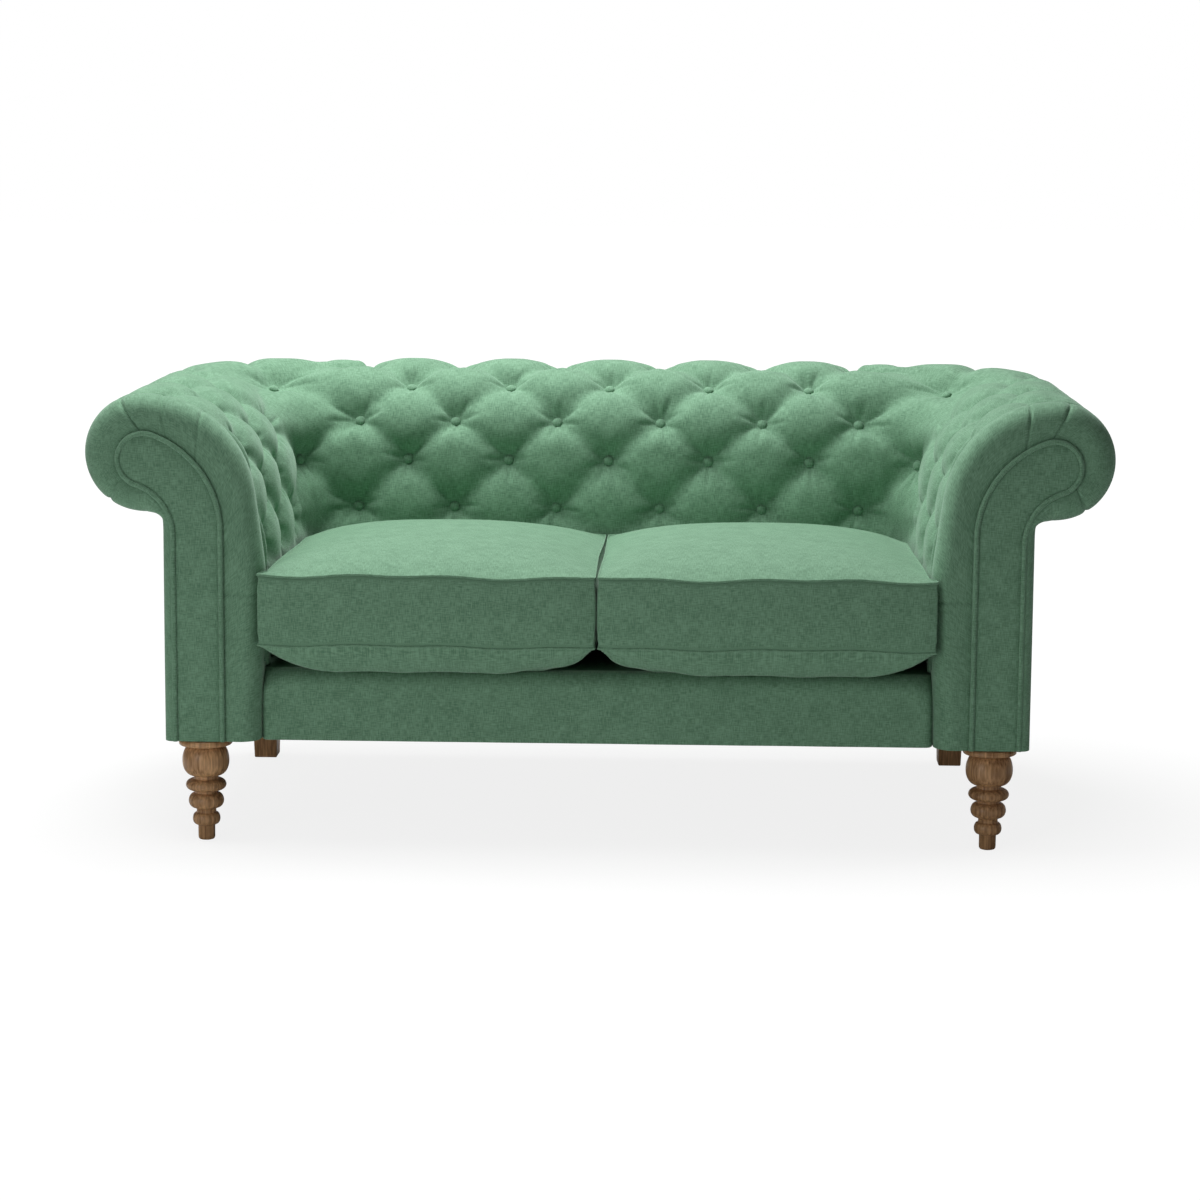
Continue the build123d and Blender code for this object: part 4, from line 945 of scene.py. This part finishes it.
BACK_LEG_TOP = (0.027, 0.030)
BACK_LEG_FOOT = (0.0215, 0.025)
BACK_LEG_LEAN = 0.010
BACK_LEG_EDGE = 0.0018


def tapered_leg(name, x, y):
    work = bmesh.new()
    bmesh.ops.create_cube(work, size=2.0)
    for vert in work.verts:
        half = BACK_LEG_TOP if vert.co.z > 0 else BACK_LEG_FOOT
        lean = 0.0 if vert.co.z > 0 else BACK_LEG_LEAN
        height = BASE_Z if vert.co.z > 0 else 0.0
        vert.co = (x + vert.co.x * half[0], y + lean + vert.co.y * half[1], height)
    bmesh.ops.bevel(
        work,
        geom=work.edges[:],
        offset=BACK_LEG_EDGE,
        affect="EDGES",
        segments=2,
        profile=0.5,
        material=-1,
    )
    bmesh.ops.recalc_face_normals(work, faces=work.faces)
    return leg_object(name, work, False)


for side_name, side in (("right", 1), ("left", -1)):
    leg = turned_leg(side_name + "_front_leg_turned", side * LEG_X, LEG_Y)
    finish_piece(leg, SOFA, [side_name + "_front_leg"])
    low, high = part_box(side_name + "_back_leg")
    middle_x = (low[0] + high[0]) / 2
    back_leg = tapered_leg(side_name + "_back_leg_tapered", middle_x, low[1] + BACK_LEG_TOP[1])
    finish_piece(back_leg, SOFA, [side_name + "_back_leg"])

# Seat cushions: loose foam blocks in box-edged linen covers with a sewn seam round both faces. They lie
# on the deck; the covers are blown out by a short cloth run with the seams held.

SEAM_TOP, SEAM_LOW = 0.472, 0.351
CROWN = 0.5065
CUSHION_FRONT = -DEPTH / 2
CUSHION_BACK = BACK_Y - 0.008
CUSHION_SIDE = ARM_X - 0.004
EAR = 0.012
REAR_ROUND = 0.10
FRONT_SET = 0.006
FRONT_BOW = 0.008
SIDE_PULL = 0.003
MIDDLE_GAP = 0.0028
MIDDLE_PULL = 0.004
DROOP = 0.016
SEAM_FALL = 0.016
TOP_RIPPLE = 0.0012
BAND_HEIGHT = 0.12
BAND_SWELL = 0.002
BAND_RIPPLE = 0.0025
BAND_TUCK = 0.0015
COUNT_X, COUNT_Y, COUNT_BAND = ((76, 86, 18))


def cushion_plan(u, v):
    """Plan place on the cushion for shares u from the sofa's middle outwards and v from front to back."""
    y = CUSHION_FRONT + FRONT_SET + (CUSHION_BACK - CUSHION_FRONT - FRONT_SET) * v
    y = y - FRONT_BOW * np.sin(math.pi * u) ** 0.7 * (1 - v) ** 2
    outer = CUSHION_SIDE - SIDE_PULL * np.sin(math.pi * np.clip(v, 0, 1))
    ear = EAR * smooth_step(0.045, 0.012, y - CUSHION_FRONT)
    turn = np.clip((y - (CUSHION_BACK - REAR_ROUND)) / REAR_ROUND, 0, 1)
    outer = outer + ear - REAR_ROUND * (1 - np.sqrt(np.maximum(1 - turn**2, 0)))
    inner = MIDDLE_GAP + MIDDLE_PULL * np.sin(math.pi * v) ** 2 * (1 - 0.5 * v)
    return inner + (outer - inner) * u, y


def dome(u, v, power):
    return (1 - np.abs(2 * u - 1) ** power) * (1 - np.abs(2 * v - 1) ** power)


def ease(k):
    return 0.5 - 0.5 * np.cos(math.pi * (0.08 + 0.84 * k))


def edge_shares(count):
    """Shares from nought to one, closer together near both edges."""
    return (ease(np.linspace(0, 1, count)) - ease(0.0)) / (ease(1.0) - ease(0.0))


def cushion_faces(ring):
    count = len(ring)
    faces = grid_faces(COUNT_X, COUNT_Y, False) + grid_faces(COUNT_X, COUNT_Y, True, COUNT_X * COUNT_Y)
    band = [2 * COUNT_X * COUNT_Y + k * count + np.arange(count) for k in range(COUNT_BAND - 1)]
    loops = [ring] + band + [ring + COUNT_X * COUNT_Y]
    for upper, under in zip(loops[:-1], loops[1:]):
        for j in range(count):
            k = (j + 1) % count
            faces.append((upper[j], under[j], under[k], upper[k]))
    return [tuple(int(i) for i in face) for face in faces]


def build_cushion(name, side, seed):
    u, v = np.meshgrid(edge_shares(COUNT_X), edge_shares(COUNT_Y), indexing="ij")
    x, y = cushion_plan(u, v)
    ripple = TOP_RIPPLE * soft_noise(x * 0.7, y * 0.7, seed)
    edge = SEAM_TOP - SEAM_FALL * smooth_step(0.15, 1.0, v) * (1 - 0.6 * np.sin(math.pi * u))
    top = edge + (CROWN - edge) * dome(u, v, 2.6) ** 0.7 + ripple * dome(u, v, 4)
    under = (1 - np.abs(2 * u - 1) ** np.where(u < 0.5, 9, 6)) * (1 - np.abs(2 * v - 1) ** 10)
    set_back = y - CUSHION_FRONT
    droop = DROOP * np.sin(math.pi * np.clip((set_back - 0.002) / 0.046, 0, 1)) * under**0.5
    low = SEAM_LOW - (SEAM_LOW - DECK_Z - 0.0015) * under**0.55 - droop
    wave = 0.0022 * np.sin(u * 9 + seed) + 0.0018 * np.sin(u * 21 + 2 * seed)
    verts = [np.stack([x, y, top + wave * (1 - v) ** 6], axis=2).reshape(-1, 3)]
    verts.append(np.stack([x, y, low + 0.7 * wave * (1 - v) ** 6], axis=2).reshape(-1, 3))
    index = np.arange(COUNT_X * COUNT_Y).reshape(COUNT_X, COUNT_Y)
    ring = np.concatenate([index[:-1, 0], index[-1, :-1], index[:0:-1, -1], index[0, :0:-1]])
    top_ring, low_ring = verts[0][ring], verts[1][ring]
    tangent = np.roll(top_ring, -1, axis=0) - np.roll(top_ring, 1, axis=0)
    normal = np.stack([tangent[:, 1], -tangent[:, 0], np.zeros(len(ring))], axis=1)
    normal /= np.linalg.norm(normal, axis=1)[:, None]
    ring_run = lengths(np.concatenate([top_ring, top_ring[:1]]))[:-1]
    belly = BAND_RIPPLE * soft_noise(ring_run * 0.5, ring_run * 0.1, seed + 4)
    flat = np.stack([x, y], axis=2).reshape(-1, 2)
    uv = [flat, flat]
    for k in range(1, COUNT_BAND):
        h = k / COUNT_BAND
        bow = math.sin(math.pi * h)
        level = top_ring * (1 - h) + low_ring * h
        swell = BAND_SWELL * bow + belly * bow - BAND_TUCK * (h < 0.12 or h > 0.88)
        verts.append(level + normal * swell[:, None])
        uv.append(np.column_stack([ring_run, np.full(len(ring), -BAND_HEIGHT * h)]))
    verts, faces = np.concatenate(verts), cushion_faces(ring)
    if side < 0:
        verts = mirrored(verts)
        faces = [tuple(reversed(face)) for face in faces]
    obj = merged(add_object(name, verts, faces, np.concatenate(uv), green))
    held = obj.vertex_groups.new(name="seams")
    held.add([int(i) for i in ring] + [int(i) + COUNT_X * COUNT_Y for i in ring], 1.0, "REPLACE")
    return obj, ring


CLOTH_FRAMES = 20
MOST_MOVE = 0.009


def vertex_places(mesh):
    places = np.empty(len(mesh.vertices) * 3)
    mesh.vertices.foreach_get("co", places)
    return places.reshape(-1, 3)


def blow_out(obj):
    before = vertex_places(obj.data)
    cloth = obj.modifiers.new("blow", "CLOTH")
    settings = cloth.settings
    settings.quality = 6
    settings.mass = 0.4
    settings.tension_stiffness = 18
    settings.compression_stiffness = 18
    settings.shear_stiffness = 8
    settings.bending_stiffness = 0.8
    settings.use_pressure = True
    settings.uniform_pressure_force = 4.0
    settings.vertex_group_mass = "seams"
    settings.effector_weights.gravity = 0.0
    cloth.collision_settings.use_collision = False
    cloth.point_cache.frame_start = 1
    cloth.point_cache.frame_end = CLOTH_FRAMES
    scene = bpy.context.scene
    for step in range(1, CLOTH_FRAMES + 1):
        scene.frame_set(step)
    shaped = obj.evaluated_get(bpy.context.evaluated_depsgraph_get())
    move = vertex_places(shaped.data) - before
    obj.modifiers.remove(cloth)
    scene.frame_set(1)
    size = np.linalg.norm(move, axis=1)
    move *= (MOST_MOVE * np.tanh(size / MOST_MOVE) / np.maximum(size, 1e-9))[:, None]
    place = before + move
    floor_z = np.where(place[:, 1] < APRON_Y - 0.006, DECK_Z - DROOP, DECK_Z)
    place[:, 2] = np.clip(place[:, 2], floor_z, CROWN + 0.006)
    place[:, 0] = np.clip(place[:, 0], -CUSHION_SIDE - EAR, CUSHION_SIDE + EAR)
    place[:, 1] = np.maximum(place[:, 1], CUSHION_FRONT - FRONT_BOW)
    obj.data.vertices.foreach_set("co", place.ravel())
    obj.data.update()


SEAM_R = 0.0021
SEAM_SIDES = 8
SEAM_CLOTH = 0.013


def seam_ridge(name, obj, ring):
    """Thin sewn ridge along one seam of a cushion."""
    path = vertex_places(obj.data)[ring]
    out = path - path.mean(axis=0)
    out[:, 2] = 0
    out /= np.linalg.norm(out, axis=1)[:, None]
    up = np.array((0, 0, 1.0))
    a = np.linspace(0, 2 * math.pi, SEAM_SIDES, endpoint=False)
    around = out[:, None, :] * np.cos(a)[None, :, None] + up * np.sin(a)[None, :, None]
    points = path[:, None, :] + around * SEAM_R
    closed = np.concatenate([points, points[:1]])
    uv = flat_map(lengths(closed[:, 0]), np.linspace(0, SEAM_CLOTH, SEAM_SIDES))
    return merged(grid_object(name, closed, uv, False, close=True), 1e-6)


for side_name, side, seed in (("right", 1, 21), ("left", -1, 34)):
    body = side_name + "_cushion"
    cover, ring = build_cushion(body + "_cloth", side, seed)
    blow_out(cover)
    finish_piece(cover, body, [body + "_cover", body + "_core"])
    for seam, shift in (("top", 0), ("low", COUNT_X * COUNT_Y)):
        ridge = seam_ridge("%s_%s_seam" % (body, seam), cover, ring + shift)
        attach(ridge, body)

# Floor, light and camera: a pale floor that shows a faint shadow close to the sofa and is white farther off,
# one wide soft lamp overhead and a weak one in front, seen from the photograph's place.

FLOOR_REACH = 30.0
SHADOW_EDGE = (0.6, 1.2)
NEAR_WHITE = 0.80
corners = [(-FLOOR_REACH, -FLOOR_REACH, 0), (FLOOR_REACH, -FLOOR_REACH, 0)]
corners += [(FLOOR_REACH, FLOOR_REACH, 0), (-FLOOR_REACH, FLOOR_REACH, 0)]
floor_mesh = bpy.data.meshes.new("floor")
floor_mesh.from_pydata(corners, [], [(0, 1, 2, 3)])
floor = bpy.data.objects.new("floor", floor_mesh)
bpy.context.scene.collection.objects.link(floor)
floor_material, g = new_material("floor_white")
paint = g.make("ShaderNodeBsdfDiffuse", {}, {"Color": (0.8, 0.8, 0.8, 1.0)})
glow = g.make("ShaderNodeEmission", {}, {"Color": (1.0, 1.0, 1.0, 1.0), "Strength": 1.06})
camera_ray = g.make("ShaderNodeLightPath", {}, {})
x, y, _ = split(g, object_place(g))
away = (x * x / 2.1 + y * y / 1.2) ** 0.5
white = camera_ray * spread(g, away, *SHADOW_EDGE, NEAR_WHITE, 1.0)
mixed = g.make("ShaderNodeMixShader", {}, {0: white, 1: paint, 2: glow})
g.make("ShaderNodeOutputMaterial", {}, {"Surface": mixed})
floor_mesh.materials.append(floor_material)

AIR_LIGHT = 0.14
world = bpy.data.worlds.new("studio")
bpy.context.scene.world = world
world.use_nodes = True
world.node_tree.nodes.clear()
sky = Wire(world.node_tree)
strength = sky.make("ShaderNodeLightPath", {}, {}) * (1 - AIR_LIGHT) + AIR_LIGHT
air = sky.make("ShaderNodeBackground", {}, {"Color": (1.0, 1.0, 1.0, 1.0), "Strength": strength})
sky.make("ShaderNodeOutputWorld", {}, {"Surface": air})


def lamp(name, place, target, size, power):
    data = bpy.data.lights.new(name, "AREA")
    data.shape = "RECTANGLE"
    data.size, data.size_y = size
    data.energy = power
    obj = bpy.data.objects.new(name, data)
    obj.location = place
    obj.rotation_euler = (Vector(target) - Vector(place)).to_track_quat("-Z", "Y").to_euler()
    bpy.context.scene.collection.objects.link(obj)


lamp("overhead", (-0.5, 0.40, 2.8), (0.0, 0.05, 0.4), (2.8, 1.3), 109)
lamp("front_fill", (-2.8, -4.0, 1.0), (0.0, 0.0, 0.3), (2.0, 1.4), 28)

PHOTO_PIXELS = 1200
FOCAL_PIXELS = 3089.19
SENSOR = 36.0
YAW, PITCH, ROLL = 0.0284, 0.15489, 0.0067
CAMERA = Vector((0.153, -5.1791 + FACING_Y, 1.24249))
level = math.cos(PITCH)
forward = Vector((-math.sin(YAW) * level, math.cos(YAW) * level, -math.sin(PITCH)))
right = Vector((math.cos(YAW), math.sin(YAW), 0))
up = right.cross(forward)
right_turned = right * math.cos(ROLL) + up * math.sin(ROLL)
up_turned = up * math.cos(ROLL) - right * math.sin(ROLL)
camera_data = bpy.data.cameras.new("photo_camera")
camera_data.sensor_width = SENSOR
camera_data.lens = FOCAL_PIXELS / PHOTO_PIXELS * SENSOR
camera = bpy.data.objects.new("photo_camera", camera_data)
basis = Matrix((right_turned, up_turned, -forward)).transposed().to_4x4()
camera.matrix_world = Matrix.Translation(CAMERA) @ basis
bpy.context.scene.collection.objects.link(camera)
bpy.context.scene.camera = camera
bpy.context.scene.view_settings.view_transform = "Standard"
